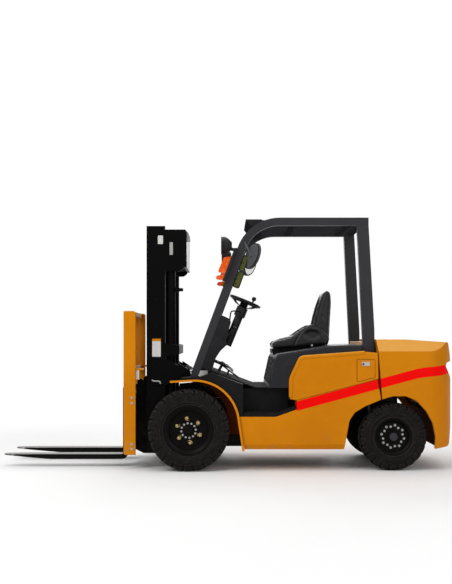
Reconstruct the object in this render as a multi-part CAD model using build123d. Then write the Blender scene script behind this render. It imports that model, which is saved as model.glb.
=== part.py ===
from build123d import *
import math
import os

# Counterbalance forklift truck, millimetres. X runs forward, Y to the left, Z up.
# Positions along X are measured from the front axle; the finished pieces are then moved
# forward by AXLE_X, which centres the truck on the origin.

# Wheels and axles
WHEELBASE = 1775
FIRST_WHEELBASE = 1775
FRONT_TYRE_D = 706
FRONT_TYRE_W = 225
FRONT_BEAD_R = 222
REAR_TYRE_D = 588
REAR_TYRE_W = 178
REAR_BEAD_R = 168
LUGS = 22
GROOVE_W = 22
GROOVE_DEPTH = 16
KINGPIN_OFFSET = 140
KINGPIN_R = 22
FRONT_SPINDLE_R = 48
REAR_SPINDLE_R = 30
TRUNNION_R = 38
JOURNAL_R = 85

# Body
TAIL_OVERHANG = 533
BODY_HALF = 600
RAIL_T = 42
STEP_Z = 470
SILL_Z = 187
FLOOR_Z = 719
FLOOR_T = 12
SKIN = 28
CROWN_T = 16
CROWN_TAPER = 68
HOOD_ROUND = 22
LIP_T = 17
HINGE_Z = 1075
HINGE_PIN_R = 6
DOOR_LENGTH = 154
DOOR_T = 10
DOOR_GAP = 4
ARCH_R = 405
DECK_Z = 690
COUNTER_TOP = 1138
LIFT_EYE_R = 15
TOW_Z = 360
TOW_R = 17
LAMP_T = 18
UPRIGHT_T = 99
UPRIGHT_Z = 1022
RAIL_TOP = 585
RADIATOR_TOP = 1070

# Overhead guard
GUARD_W = 60
GUARD_DEPTH = 68
ROOF_Z = 2206
LEG_FOOT_X = -4
LEG_FOOT_Z = 811
LEG_LEAN = 0.3716

# Mast
MAST_FRONT = 382
MAST_REAR = 218
MAST_TOP = 2144
MAST_FOOT = 150
CHANNEL_T = 22
CHANNEL_W = 72
BEAM_GAP = 6
BEAM_W = 62
LIFT_X = 168
LIFT_R = 42
LIFT_ROD_R = 22
SHEAVE_R = 56
SHEAVE_X = 250
CHAIN_W = 26
CHAIN_T = 12
CHAIN_PITCH = 25.4
CHAIN_FOOT_Z = 400.3
TILT_R = 40
TILT_ROD_R = 20
TILT_PIN_R = 20
TILT_PLAY = 4.5
TILT_MAST_X = 50
TILT_MAST_Z = 840
TILT_BASE_X = -600
TILT_BASE_Z = 640

# Carriage and forks
BAR_FACE = 555
BAR_T = 40
BAR_H = 110
BAR_LOW_Z = 167
CARRIAGE_H = 508
POST_T = 20
BACKREST_TOP = 1387
FORK_LENGTH = 1070
FORK_W = 125
FORK_T = 45
FORK_BOTTOM = 66

# Steering wheel
STEER_X = -501
STEER_Z = 1488
COLUMN_FOOT_X = -346
COLUMN_FOOT_Z = 1112
STEER_R = 140
COLUMN_R = 38

# Clearances
FIT = 0.05
SEAT = 0.3

# Derived places
REAR_X = -WHEELBASE
TAIL_X = REAR_X - TAIL_OVERHANG
UPRIGHT_REAR = REAR_X + 149
UPRIGHT_FRONT = UPRIGHT_REAR + UPRIGHT_T
ROOF_END_X = UPRIGHT_FRONT - 46
DOOR_REAR = UPRIGHT_REAR + 16
DOOR_FRONT = DOOR_REAR + DOOR_LENGTH
LIFT_EYE_X = REAR_X - 5
TAIL_HALF = BODY_HALF + 5
UPRIGHT_OUT = BODY_HALF - 100
GUARD_OUT = BODY_HALF - 120
GUARD_IN = GUARD_OUT - GUARD_W
HINGE_X = UPRIGHT_FRONT + 32
HINGE_Y = GUARD_IN - 120
SLAT_Z = ROOF_Z - 34
BAR_HALF = BODY_HALF - 120
MAST_OUT = BODY_HALF - 220
RAIL_OUT = BODY_HALF - 228
LIFT_Y = MAST_OUT - 62
TILT_Y = MAST_OUT - 42
FORK_Y = MAST_OUT - 137
FORK_FACE = BAR_FACE + FORK_T
AXLE_X = -(FORK_FACE + FORK_LENGTH + TAIL_X) / 2
FRONT_R = FRONT_TYRE_D / 2
REAR_R = REAR_TYRE_D / 2
FRONT_Y = BODY_HALF - 67.5
REAR_Y = BODY_HALF - 110
KINGPIN_Y = REAR_Y - KINGPIN_OFFSET
RAIL_IN = RAIL_OUT - RAIL_T
ROLLER_X = (MAST_FRONT + MAST_REAR) / 2
SHEAVE_Z = MAST_TOP - 84
ROD_TOP_Z = MAST_TOP - 139
LIFT_HEAD_Z = MAST_TOP - 255
LIFT_STROKE = MAST_TOP - 644
CHAIN_ANCHOR_Z = MAST_TOP - 329
UPPER_TIE_Z = MAST_TOP - 364
BEAM_OUT = MAST_OUT - CHANNEL_W - BEAM_GAP
BEAM_IN = BEAM_OUT - BEAM_W
BEAM_REAR = MAST_REAR + BEAM_GAP
BEAM_FRONT = MAST_FRONT - BEAM_GAP
BEAM_T = 20
BEAM_WEB_IN = BEAM_IN + 22
BEAM_WEB_OUT = BEAM_WEB_IN + 18
CARRIAGE_OUT = BEAM_IN - 8
CHAIN_Y = BEAM_IN - 125
MAST_FOOT_IN = MAST_OUT - 165
MAST_FOOT_OUT = MAST_OUT - 118
COWL_IN = MAST_OUT + 30
DASH_HALF = MAST_OUT - 90
HEAD_LAMP_Y = GUARD_OUT + 40
HEAD_LAMP_Z = ROOF_Z - 251


def outline(corners):
    """A closed face in the X-Y plane; a third number on a corner is its rounding radius."""
    places = [(c[0], c[1]) for c in corners]
    radii = [c[2] if len(c) > 2 else 0 for c in corners]
    if max(radii) == 0:
        return make_face(Polyline(*places, close=True))
    return make_face(FilletPolyline(*places, radius=radii, close=True))


def along(x):
    """A place along the body, written for the first wheelbase; under the hood it follows the axles."""
    cab_rear = -480
    engine_rear = -1345
    change = WHEELBASE - FIRST_WHEELBASE
    share = (x - cab_rear) / (engine_rear - cab_rear)
    return x - change * min(max(share, 0), 1)


def spread(corners):
    """Side view corners whose places follow the axles."""
    ease = min(1, 1 + (WHEELBASE - FIRST_WHEELBASE) / 865)
    return [(along(c[0]), c[1], c[2] * ease if len(c) > 2 else 0) for c in corners]


def across(shape, y_from, y_to):
    """A side view, corners as (x, z), run across the truck."""
    face = outline(shape) if isinstance(shape, list) else shape
    plane = Plane(origin=(0, y_to, 0), x_dir=(1, 0, 0), z_dir=(0, -1, 0))
    return extrude(plane * face, amount=y_to - y_from)


def upward(corners, z_from, z_to):
    """A plan view, corners as (x, y), run upward."""
    return extrude(Pos(0, 0, z_from) * outline(corners), amount=z_to - z_from)


def lengthwise(corners, x_from, x_to):
    """A front view, corners as (y, z), run along the truck."""
    plane = Plane(origin=(x_from, 0, 0), x_dir=(0, 1, 0), z_dir=(1, 0, 0))
    return extrude(plane * outline(corners), amount=x_to - x_from)


def block(x_from, x_to, y_from, y_to, z_from, z_to):
    middle = Pos((x_from + x_to) / 2, (y_from + y_to) / 2, (z_from + z_to) / 2)
    return middle * Box(x_to - x_from, y_to - y_from, z_to - z_from)


def rod(start, end, radius):
    """A round bar from one point to another."""
    line = Vector(*end) - Vector(*start)
    return Solid.make_cylinder(radius, line.length, Plane(origin=start, z_dir=line))


def turned(profile, x, y, z):
    """A body turned about a cross axis; corners as (distance outward, radius)."""
    plane = Plane(origin=(x, y, z), x_dir=(0, 1, 0), z_dir=(1, 0, 0))
    return revolve(plane * outline(profile), Axis((x, y, z), (0, 1, 0)), 360)


def other_side(shape):
    return mirror(shape, about=Plane.XZ)


def both(shape):
    """The left piece and its twin on the right, as separate solids."""
    return Compound([*shape.solids(), *other_side(shape).solids()])


def wheelhouse(grow):
    """Side view of the room for the front wheel, its curve moved outward by grow."""
    lean = 0.162
    top = 776 + grow
    back = 366 + grow * 1.02
    corners = [
        (190, top - 14),
        (-back - lean * 24, top + 16, 372 + grow),
        (-back - lean * (top - 170), 170),
        (-back - lean * (top - 170), -50),
        (190, -50),
    ]
    return outline(corners)


def rear_arch():
    """Side view of the opening round the rear wheel in the body's skin."""
    x = REAR_X
    corners = [
        (x + 430, 120),
        (x + 430, SILL_Z),
        (x + 417, 265),
        (x + 386, 436, 60),
        (x + 341, 506, 60),
        (x + 246, 563, 60),
        (x + 107, 620, 60),
        (x + 12, 648, 60),
        (x - 102, 648, 60),
        (x - 197, 607, 60),
        (x - 279, 518, 60),
        (x - 336, 417, 60),
        (x - 361, 296, 60),
        (x - 355, 208),
        (x - 355, 120),
    ]
    return outline(corners)


def frame():
    x = REAR_X
    rail = across(
        [
            (-85, 240),
            (-300, 190),
            (x + 440, 190),
            (x + 403, 330),
            (x + 370, 440),
            (x + 325, 540),
            (x + 230, 615),
            (x + 115, 650),
            (x - 355, 650),
            (x - 355, DECK_Z),
            (x + 130, DECK_Z),
            (x + 475, RAIL_TOP),
            (-300, RAIL_TOP),
            (-85, 545),
        ],
        RAIL_IN,
        RAIL_OUT,
    )
    lug = across(
        [
            (TILT_BASE_X - 55, RAIL_TOP - 10),
            (TILT_BASE_X - 36, TILT_BASE_Z + 40, 30),
            (TILT_BASE_X + 36, TILT_BASE_Z + 40, 30),
            (TILT_BASE_X + 36, RAIL_TOP - 10),
        ],
        TILT_Y + 20,
        RAIL_OUT,
    )
    pin_from = (TILT_BASE_X, TILT_Y - 20, TILT_BASE_Z)
    pin_to = (TILT_BASE_X, TILT_Y + 25, TILT_BASE_Z)
    upright = block(UPRIGHT_REAR, UPRIGHT_FRONT, UPRIGHT_OUT - 100, UPRIGHT_OUT, DECK_Z - 1, UPRIGHT_Z)
    side = rail + lug + rod(pin_from, pin_to, TILT_PIN_R) + upright
    body = side + other_side(side)
    body += block(x - 355, x + 115, -RAIL_IN, RAIL_IN, 650, DECK_Z)
    body += block(UPRIGHT_REAR, UPRIGHT_FRONT, -UPRIGHT_OUT, UPRIGHT_OUT, 650, DECK_Z)
    body += block(-340, -300, -RAIL_IN, RAIL_IN, RAIL_TOP - 60, RAIL_TOP)
    body += block(-112, -87, -RAIL_IN, RAIL_IN, 500, 545)
    body += block(-700, -640, -RAIL_IN, RAIL_IN, 190, 225)
    for end in (-1, 1):
        near = x + end * 95
        far = x + end * 125
        hanger = block(min(near, far), max(near, far), -75, 75, REAR_R - 75, 651)
        body += hanger
    bore = rod((x - 140, 0, REAR_R), (x + 140, 0, REAR_R), TRUNNION_R + FIT)
    return body - bore


def side_tanks():
    body = [
        (-400, STEP_Z),
        (-755, STEP_Z),
        (-933, 533),
        (-933, 610),
        (-1634, 791.5),
        (-1660, 633),
        (-1660, SILL_Z),
        (-400, SILL_Z),
    ]
    tank = across(spread(body), RAIL_OUT, BODY_HALF)
    sill = [(BODY_HALF + 1, SILL_Z + 46), (BODY_HALF + 1, SILL_Z - 1), (BODY_HALF - 26, SILL_Z - 1)]
    tank -= lengthwise(sill, TAIL_X, 0)
    tank -= across(rear_arch(), RAIL_OUT - 1, BODY_HALF + 1)
    tank -= across(wheelhouse(LIP_T + 1), RAIL_OUT - 1, BODY_HALF + 1)
    room = rod((REAR_X, 0, REAR_R), (REAR_X, BODY_HALF - 40, REAR_R), ARCH_R)
    room += block(REAR_X - 50, REAR_X + ARCH_R, 0, BODY_HALF - 40, 60, REAR_R)
    room += block(REAR_X + 105, UPRIGHT_FRONT + 8, 0, UPRIGHT_OUT + 5, 640, 1000)
    tank -= room
    neck_x = (DOOR_FRONT + DOOR_REAR) / 2
    neck_y = BODY_HALF - 65
    filler = rod((neck_x, neck_y, 720), (neck_x, neck_y, 850), 26)
    filler += rod((neck_x, neck_y, 850), (neck_x, BODY_HALF - DOOR_T - 6, 850), 32)
    return Compound([*(tank + filler).solids(), *other_side(tank).solids()])


def cover_face():
    """Side view of the panel beside the engine."""
    corners = [
        (-875, 624),
        (-870, 800, 120),
        (-962, 995, 60),
        (-1512, 1034, 60),
        (-1634, 1022),
        (-1640, 797),
        (-933, 613.5),
    ]
    return outline(spread(corners))


def door_face():
    """Side view of the fuel door."""
    return outline([(DOOR_FRONT, 772, 12), (DOOR_FRONT, 961, 12), (DOOR_REAR, 961, 12), (DOOR_REAR, 811, 12)])


def cover_crown():
    """The room inside the cover's rounded front and upper edges, open to the rear and below."""
    front = [(-875, 300), (-870, 800, 120), (-962, 995, 60), (-1512, 1034, 60)]
    corners = front + [(-1634, 1026), (-1900, 1010), (-1900, 300)]
    face = outline(spread(corners))
    low = BODY_HALF - CROWN_T
    plane = Plane(origin=(0, low, 0), x_dir=(-1, 0, 0), z_dir=(0, 1, 0))
    turned_face = plane * mirror(face, about=Plane.YZ)
    return across(face, low - SKIN, low) + extrude(turned_face, amount=CROWN_T + 0.5, taper=CROWN_TAPER)


def side_covers():
    panel = across(cover_face(), BODY_HALF - SKIN, BODY_HALF) & cover_crown()
    panel += block(UPRIGHT_REAR + 6, UPRIGHT_FRONT - 3, UPRIGHT_OUT, BODY_HALF - SKIN + 1, 980, 1000)
    recess = across(offset(door_face(), amount=DOOR_GAP), BODY_HALF - DOOR_T - SEAT, BODY_HALF + 1)
    hole = across(offset(door_face(), amount=-12), BODY_HALF - SKIN - 1, BODY_HALF + 1)
    left = panel - recess - hole
    return Compound([*left.solids(), *other_side(panel).solids()])


def fuel_door():
    door = across(door_face(), BODY_HALF - DOOR_T, BODY_HALF)
    latch = block(DOOR_FRONT - 110, DOOR_FRONT - 40, BODY_HALF, BODY_HALF + 4, 908, 944)
    knuckle = rod((DOOR_REAR, BODY_HALF, 831), (DOOR_REAR, BODY_HALF, 941), DOOR_GAP - SEAT)
    return door + latch + knuckle


def fenders():
    sheet = across(wheelhouse(8), COWL_IN, BODY_HALF - 8) - across(wheelhouse(0), COWL_IN - 1, BODY_HALF - 7)
    lip = across(wheelhouse(LIP_T), BODY_HALF - 9, BODY_HALF + 20)
    lip -= across(wheelhouse(0), BODY_HALF - 10, BODY_HALF + 21)
    guard = sheet + lip
    guard &= block(-900, 160, 0, BODY_HALF + 100, 175, 1000)
    return both(guard)


def cowls():
    shell = across(
        [
            (70, 700),
            (70, 806, 12),
            (0, LEG_FOOT_Z),
            (-100, LEG_FOOT_Z),
            (-199, FLOOR_Z + 131),
            (-470, FLOOR_Z + 29.5),
            (-470, STEP_Z),
            (-400, STEP_Z),
        ],
        COWL_IN,
        BODY_HALF - 10,
    )
    shell -= across(wheelhouse(8.5), COWL_IN - 20, BODY_HALF)
    wall = block(along(-868), -468, GUARD_IN, GUARD_IN + 20, STEP_Z, FLOOR_Z - FLOOR_T)
    under = [(-755, STEP_Z), (-933, 533), (-933, STEP_Z - 10), (-755, STEP_Z - 10)]
    wall -= across(spread(under), GUARD_IN - 20, GUARD_IN + 40)
    return both(shell + wall)


def step_plates():
    side = [
        (-474, STEP_Z),
        (-755, STEP_Z),
        (-928, 531.5),
        (-928, 562),
        (-765, 505, 60),
        (-474, 505, 10),
    ]
    return both(across(spread(side), GUARD_IN + 21, BODY_HALF - 4))


def floor_plate():
    top = [(-62, FLOOR_Z + 131), (-197, FLOOR_Z + 144), (-582, FLOOR_Z), (-868, FLOOR_Z)]
    low = [(-868, FLOOR_Z - FLOOR_T), (-584, FLOOR_Z - FLOOR_T)]
    low += [(-197, FLOOR_Z + 132), (-62, FLOOR_Z + 119)]
    half = BODY_HALF - 130
    plate = across(spread(top + low), -half, half)
    notch = block(-160, 0, DASH_HALF, half + 30, 700, 900)
    plate -= notch + other_side(notch)
    return plate - block(along(-900), along(-706), -RAIL_IN, RAIL_IN, 600, 800)


def column_line(distance):
    """A point on the steering column's centre line, measured down from the wheel's centre."""
    run = math.hypot(COLUMN_FOOT_X - STEER_X, COLUMN_FOOT_Z - STEER_Z)
    part = distance / run
    return (STEER_X + (COLUMN_FOOT_X - STEER_X) * part, 0, STEER_Z + (COLUMN_FOOT_Z - STEER_Z) * part)


def dash():
    pedestal = across(
        [
            (-75, FLOOR_Z + 120),
            (-199, FLOOR_Z + 120),
            (-199, FLOOR_Z + 150),
            (-228, 966, 60),
            (-275, 1036, 60),
            (-334, 1091, 20),
            (-323, 1129),
            (-190, 1186),
            (-150, 1120),
        ],
        -DASH_HALF,
        DASH_HALF,
    )
    console = across(
        [(-185, 1150), (-205, 1335, 20), (-262, 1358, 20), (-372, 1306, 25), (-323, 1129)],
        -210,
        210,
    )
    hole = rod(column_line(60), column_line(480), COLUMN_R + SEAT)
    floor = [(-62, FLOOR_Z + 131), (-197, FLOOR_Z + 144), (-260, FLOOR_Z + 120.6), (-260, 600), (-62, 600)]
    return pedestal + console - hole - across(floor, -DASH_HALF - 10, DASH_HALF + 10)


def steering_column():
    tube = rod(column_line(60), column_line(440), COLUMN_R)
    collar = rod(column_line(60), column_line(150), COLUMN_R + 14)
    knee = (-440, 150, 1400)
    stalk = rod(column_line(110), knee, 6) + Pos(*knee) * Sphere(13)
    return tube + collar + stalk


def steering_wheel():
    plane = Plane(origin=column_line(0), z_dir=Vector(*column_line(0)) - Vector(*column_line(100)))
    rim = plane * Torus(STEER_R, 13)
    hub = plane * Pos(0, 0, -29.5) * Cylinder(36, 59)
    wheel = rim + hub
    for turn in (90, 210, 330):
        wheel += plane * Rot(0, 0, turn) * Pos(STEER_R / 2 + 10, 0, -12) * Box(STEER_R - 18, 26, 12)
    knob = Pos(STEER_R, 0, 20) * Cylinder(8, 40) + Pos(STEER_R, 0, 46) * Sphere(21)
    return wheel + plane * Rot(0, 0, 118) * knob


def controls():
    body = dash()
    pieces = []
    for place in (-280, -250, -220):
        knob = Pos(-420, place, 1300) * Sphere(13)
        pieces.append(rod((-270, place, 1130), (-420, place, 1300), 6) + knob)
    pieces.append(rod((-255, 250, 1080), (-400, 250, 1240), 8) + Pos(-400, 250, 1240) * Sphere(15))
    for place in (-190, 60, 170):
        pad = across([(-330, 905), (-392, 850), (-384, 842), (-322, 897)], place - 35, place + 35)
        pieces.append(pad + rod((-200, place, 945), (-345, place, 884), 9))
    return Compound([(piece - body).solids().sort_by(SortBy.VOLUME)[-1] for piece in pieces])


def counterweight():
    x = REAR_X
    side = [
        (UPRIGHT_REAR - 6, COUNTER_TOP),
        (REAR_X - 109, COUNTER_TOP, 200),
        (TAIL_X + 48, 1113, 20),
        (TAIL_X + 11, 951, 8),
        (TAIL_X + 66, 935),
        (TAIL_X + 74, 905),
        (TAIL_X, 776, 25),
        (TAIL_X, 457, 140),
        (TAIL_X + 37, 211, 40),
        (TAIL_X + 172, 194),
        (REAR_X + 103, 194),
        (REAR_X + 103, 625),
    ]
    body = across(side, -TAIL_HALF, TAIL_HALF)
    front = REAR_X + 175
    plan = [(front, -TAIL_HALF), (front, TAIL_HALF), (TAIL_X, TAIL_HALF, 230), (TAIL_X, -TAIL_HALF, 230)]
    body &= upward(plan, 0, 1300)
    half = TAIL_HALF
    bevel = [(-half, 0), (-half, 1035), (-half + 85, 1140), (half - 85, 1140), (half, 1035), (half, 0)]
    body &= lengthwise(bevel, TAIL_X - 100, front + 100)
    body -= across(rear_arch(), -half - 100, half + 100)
    inner = BODY_HALF - 40
    body -= rod((x, -inner, REAR_R), (x, inner, REAR_R), ARCH_R)
    body -= block(x - 300, front, -inner, inner, 60, REAR_R)
    body -= block(x - 356, front, -UPRIGHT_OUT - 5, UPRIGHT_OUT + 5, 500, DECK_Z)
    body -= block(TAIL_X - 10, TAIL_X + 93, -60, 60, TOW_Z, TOW_Z + 140)
    body -= rod((TAIL_X + 46, 0, TOW_Z - 70), (TAIL_X + 46, 0, TOW_Z + 10), TOW_R)
    for side_y in (-280, 280):
        body -= rod((LIFT_EYE_X, side_y, COUNTER_TOP - 60), (LIFT_EYE_X, side_y, 1200), LIFT_EYE_R)
        body -= block(TAIL_X - 10, TAIL_X + LAMP_T, side_y - 62, side_y + 62, 600, 740)
    body -= block(TAIL_X - 10, front, -230, 230, 715, 880)
    return body


def rear_lamps():
    lamp = block(TAIL_X, TAIL_X + LAMP_T, 280 - 58, 280 + 58, 604, 736)
    return both(lamp)


def rear_grille():
    bars = []
    for place in range(-207, 208, 46):
        bars.append(block(TAIL_X + 58, TAIL_X + 83, place - 5, place + 5, 715, 880))
    return Compound(bars)


def powertrain():
    engine = block(along(-1400), along(-800), -RAIL_IN + 60, RAIL_IN - 60, 330, 930)
    gearbox = block(along(-801), -165, -RAIL_IN + 130, RAIL_IN - 130, 240, 490)
    mounts = block(along(-1100), along(-1000), -RAIL_IN, RAIL_IN, 400, 470)
    return engine + gearbox + mounts


def radiator():
    return block(UPRIGHT_REAR + 6, UPRIGHT_FRONT - 3, -RAIL_IN, RAIL_IN, DECK_Z, RADIATOR_TOP)


def radiator_cover():
    half = GUARD_IN - 6
    lid = block(UPRIGHT_REAR - 4, UPRIGHT_FRONT, -half, half, RADIATOR_TOP, RADIATOR_TOP + 47)
    under = (RADIATOR_TOP, RADIATOR_TOP + 33)
    lid -= block(UPRIGHT_REAR - 14, UPRIGHT_FRONT - 14, -half + 14, half - 14, *under)
    lid += block(UPRIGHT_REAR + 4, UPRIGHT_FRONT - 13, -RAIL_IN, RAIL_IN, RADIATOR_TOP, under[1] + 1)
    for place in (-HINGE_Y, HINGE_Y):
        ends = ((HINGE_X, place - 18, HINGE_Z), (HINGE_X, place + 18, HINGE_Z))
        lug = block(UPRIGHT_FRONT - 1, HINGE_X, place - 18, place + 18, HINGE_Z - 9, HINGE_Z + 9)
        lid += lug + rod(*ends, 11)
        lid -= rod(*ends, HINGE_PIN_R + FIT)
    return lid


def guard_side_tubes():
    lean = math.hypot(1, LEG_LEAN)
    deep = GUARD_DEPTH * lean
    corner = LEG_FOOT_X - LEG_LEAN * (ROOF_Z - LEG_FOOT_Z)
    inside = LEG_FOOT_X - deep - LEG_LEAN * (ROOF_Z - GUARD_DEPTH - LEG_FOOT_Z)
    path = [
        (LEG_FOOT_X, LEG_FOOT_Z),
        (corner, ROOF_Z, 395),
        (ROOF_END_X, ROOF_Z),
        (ROOF_END_X, ROOF_Z - GUARD_DEPTH),
        (inside, ROOF_Z - GUARD_DEPTH, 395 - GUARD_DEPTH),
        (LEG_FOOT_X - deep, LEG_FOOT_Z),
    ]
    return both(across(path, GUARD_IN, GUARD_OUT))


def guard_rear_pillars():
    low = ROOF_Z - GUARD_DEPTH
    shape = [(ROOF_END_X + 101, low), (ROOF_END_X, low), (UPRIGHT_REAR + 2, 1218, 300)]
    shape += [(UPRIGHT_REAR, UPRIGHT_Z), (UPRIGHT_FRONT, UPRIGHT_Z)]
    return both(across(shape, GUARD_IN, GUARD_OUT))


def roof_front():
    """Where the lower faces of the guard's legs and roof tubes would meet."""
    return LEG_FOOT_X - LEG_LEAN * (ROOF_Z - LEG_FOOT_Z) - 34.6


def guard_roof():
    """The visor and the cross bars that join the side tubes."""
    low = ROOF_Z - 56
    front = roof_front()
    visor = [
        (front + 60, ROOF_Z - 8),
        (front - 83, ROOF_Z - 8),
        (front - 83, SLAT_Z),
        (front - 98, SLAT_Z),
        (front - 98, low),
        (front + 11, ROOF_Z - 70),
    ]
    bars = [across(visor, -GUARD_IN, GUARD_IN)]
    for place in (along(-920), along(-1410), along(-1540)):
        bars.append(block(place - 25, place + 25, -GUARD_IN, GUARD_IN, low, SLAT_Z))
    return Compound(bars)


def guard_slats():
    slats = []
    for count in range(-3, 4):
        place = count * GUARD_IN * 2 / 7
        slats.append(block(along(-1565), roof_front() - 83.5, place - 9, place + 9, SLAT_Z, SLAT_Z + 26))
    return Compound(slats)


def leg_front(z):
    """Where the front face of the guard's front leg lies at a height."""
    return LEG_FOOT_X - LEG_LEAN * (z - LEG_FOOT_Z)


def lamp_brackets():
    low = ROOF_Z - 556
    high = ROOF_Z - 271
    shape = [(leg_front(low), low), (leg_front(low) + 24, low)]
    shape += [(leg_front(high) + 24, high), (leg_front(high), high)]
    plate = across(shape, GUARD_OUT - 35, GUARD_OUT + 50)
    arm = HEAD_LAMP_Z - 35
    plate += rod((leg_front(arm) + 10, HEAD_LAMP_Y, arm), (leg_front(arm) + 51, HEAD_LAMP_Y, arm + 5), 14)
    return both(plate - head_lamp())


def head_lamp():
    profile = [(0, 0), (0, 78), (20, 78, 6), (45, 64, 20), (78, 30, 14), (78, 0)]
    centre = (leg_front(HEAD_LAMP_Z) + 132, HEAD_LAMP_Y, HEAD_LAMP_Z)
    plane = Plane(origin=centre, x_dir=(-1, 0, 0), z_dir=(0, -1, 0))
    return revolve(plane * outline(profile), Axis(centre, (1, 0, 0)), 360)


def turn_lamps():
    lamps = []
    for low, high in ((ROOF_Z - 489, ROOF_Z - 344), (ROOF_Z - 550, ROOF_Z - 502)):
        back_low = leg_front(low) + 24
        back_high = leg_front(high) + 24
        shape = [(back_low, low), (back_low + 66, low + 10, 12)]
        shape += [(back_high + 66, high - 8, 12), (back_high, high)]
        lamps.append(across(shape, GUARD_OUT - 25, GUARD_OUT + 45))
    return Compound([*both(lamps[0]).solids(), *both(lamps[1]).solids()])


def mirrors():
    z = ROOF_Z - 340
    centre = (leg_front(z) - 147, GUARD_OUT + 25, z)
    glass = Plane(origin=centre, x_dir=(-0.39, 0.52, 0.76), z_dir=(-0.8, -0.6, 0))
    shell = extrude(glass * Ellipse(125, 75), amount=28)
    stalk = rod(centre, (leg_front(z) - 87, GUARD_OUT - 10, z + 130), 9)
    leg = guard_side_tubes()
    return both(shell + (stalk - leg).solids().sort_by(Axis.X)[0])


def drive_axle():
    half = FRONT_Y - 132.5
    journal_in = MAST_FOOT_IN - 6
    journal_out = MAST_FOOT_OUT + 6
    housing = journal_in * 0.57
    profile = [
        (-half, 0),
        (-half, 110),
        (-half + 15, 110),
        (-half + 15, 72),
        (-journal_out, 72),
        (-journal_out, JOURNAL_R),
        (-journal_in, JOURNAL_R),
        (-journal_in + 9, 100),
        (-housing, 150, housing / 2),
        (housing, 150, housing / 2),
        (journal_in - 9, 100),
        (journal_in, JOURNAL_R),
        (journal_out, JOURNAL_R),
        (journal_out, 72),
        (half - 15, 72),
        (half - 15, 110),
        (half, 110),
        (half, 0),
    ]
    axle = turned(profile, 0, 0, FRONT_R)
    axle += rod((0, 0, FRONT_R), (-165, 0, FRONT_R), 110)
    spindle = rod((0, half - 1, FRONT_R), (0, FRONT_Y + 27, FRONT_R), FRONT_SPINDLE_R)
    pad = block(-85, 0, RAIL_IN + 2, RAIL_OUT - 2, FRONT_R - 70, FRONT_R + 70)
    return axle + spindle + other_side(spindle) + pad + other_side(pad)


def lugged(tyre, x, y, radius, width):
    """A tyre with slanted grooves cut into both shoulders, half a lug apart from side to side."""
    grooves = []
    for side in (-1, 1):
        for count in range(LUGS):
            angle = 360 * (count + (0.5 if side > 0 else 0)) / LUGS
            groove = Rot(0, 0, side * 20) * Box(GROOVE_W, width * 0.34, GROOVE_DEPTH * 2)
            place = Pos(x, y, radius) * Rot(0, angle, 0) * Pos(0, side * width * 0.42, radius)
            grooves.append(place * groove)
    return tyre - grooves


def front_tyre():
    w = FRONT_TYRE_W / 2
    profile = [
        (-w + 12, FRONT_BEAD_R),
        (-w, FRONT_BEAD_R + 40, 30),
        (-w + 6, FRONT_R - 12, 30),
        (-w + 46, FRONT_R),
        (w - 46, FRONT_R),
        (w - 6, FRONT_R - 12, 30),
        (w, FRONT_BEAD_R + 40, 30),
        (w - 12, FRONT_BEAD_R),
    ]
    return lugged(turned(profile, 0, FRONT_Y, FRONT_R), 0, FRONT_Y, FRONT_R, FRONT_TYRE_W)


def front_rim():
    w = FRONT_TYRE_W / 2 - 12
    bore = FRONT_SPINDLE_R + FIT
    bead = FRONT_BEAD_R - SEAT
    profile = [
        (-62, bore),
        (-62, 95),
        (24, 95),
        (24, 172),
        (-w, 172),
        (-w, bead),
        (w, bead),
        (w, 198),
        (w - 14, 172),
        (52, 166, 8),
        (52, 84),
        (74, 80),
        (74, 44),
        (100, 41, 8),
        (100, 0),
        (27 + SEAT, 0),
        (27 + SEAT, bore),
    ]
    rim = turned(profile, 0, FRONT_Y, FRONT_R)
    for turn in range(6):
        angle = math.radians(60 * turn + 30)
        x = 107 * math.cos(angle)
        z = FRONT_R + 107 * math.sin(angle)
        rim += rod((x, FRONT_Y + 50, z), (x, FRONT_Y + 76, z), 15)
    return rim


def steer_axle():
    x = REAR_X
    y = KINGPIN_Y
    plan = [
        (x + 85, -170, 40),
        (x + 85, 170, 40),
        (x + 47, y),
        (x + 30, y + 38, 20),
        (x - 30, y + 38, 20),
        (x - 47, y),
        (x - 85, 170, 40),
        (x - 85, -170, 40),
        (x - 47, -y),
        (x - 30, -y - 38, 20),
        (x + 30, -y - 38, 20),
        (x + 47, -y),
    ]
    beam = upward(plan, REAR_R - 84, REAR_R + 84)
    beam += rod((x - 125, 0, REAR_R), (x + 125, 0, REAR_R), TRUNNION_R)
    for side in (-1, 1):
        fork = block(x - 100, x + 100, y - 65, y + 70, REAR_R - 58, REAR_R + 58)
        beam -= fork if side > 0 else other_side(fork)
        beam -= rod((x, side * y, 0), (x, side * y, 600), KINGPIN_R + FIT)
    return beam


def knuckle():
    x = REAR_X
    y = KINGPIN_Y
    eye = rod((x, y, REAR_R - 57), (x, y, REAR_R + 57), 44)
    eye += rod((x, y, REAR_R - 88), (x, y, REAR_R + 88), KINGPIN_R)
    shoulder = rod((x, y, REAR_R), (x, REAR_Y - 42, REAR_R), 40)
    spindle = rod((x, y, REAR_R), (x, REAR_Y + 40, REAR_R), REAR_SPINDLE_R)
    return eye + shoulder + spindle


def rear_tyre():
    w = REAR_TYRE_W / 2
    profile = [
        (-w + 10, REAR_BEAD_R),
        (-w, REAR_BEAD_R + 40, 26),
        (-w + 6, REAR_R - 12, 26),
        (-w + 36, REAR_R),
        (w - 36, REAR_R),
        (w - 6, REAR_R - 12, 26),
        (w, REAR_BEAD_R + 40, 26),
        (w - 10, REAR_BEAD_R),
    ]
    return lugged(turned(profile, REAR_X, REAR_Y, REAR_R), REAR_X, REAR_Y, REAR_R, REAR_TYRE_W)


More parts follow.
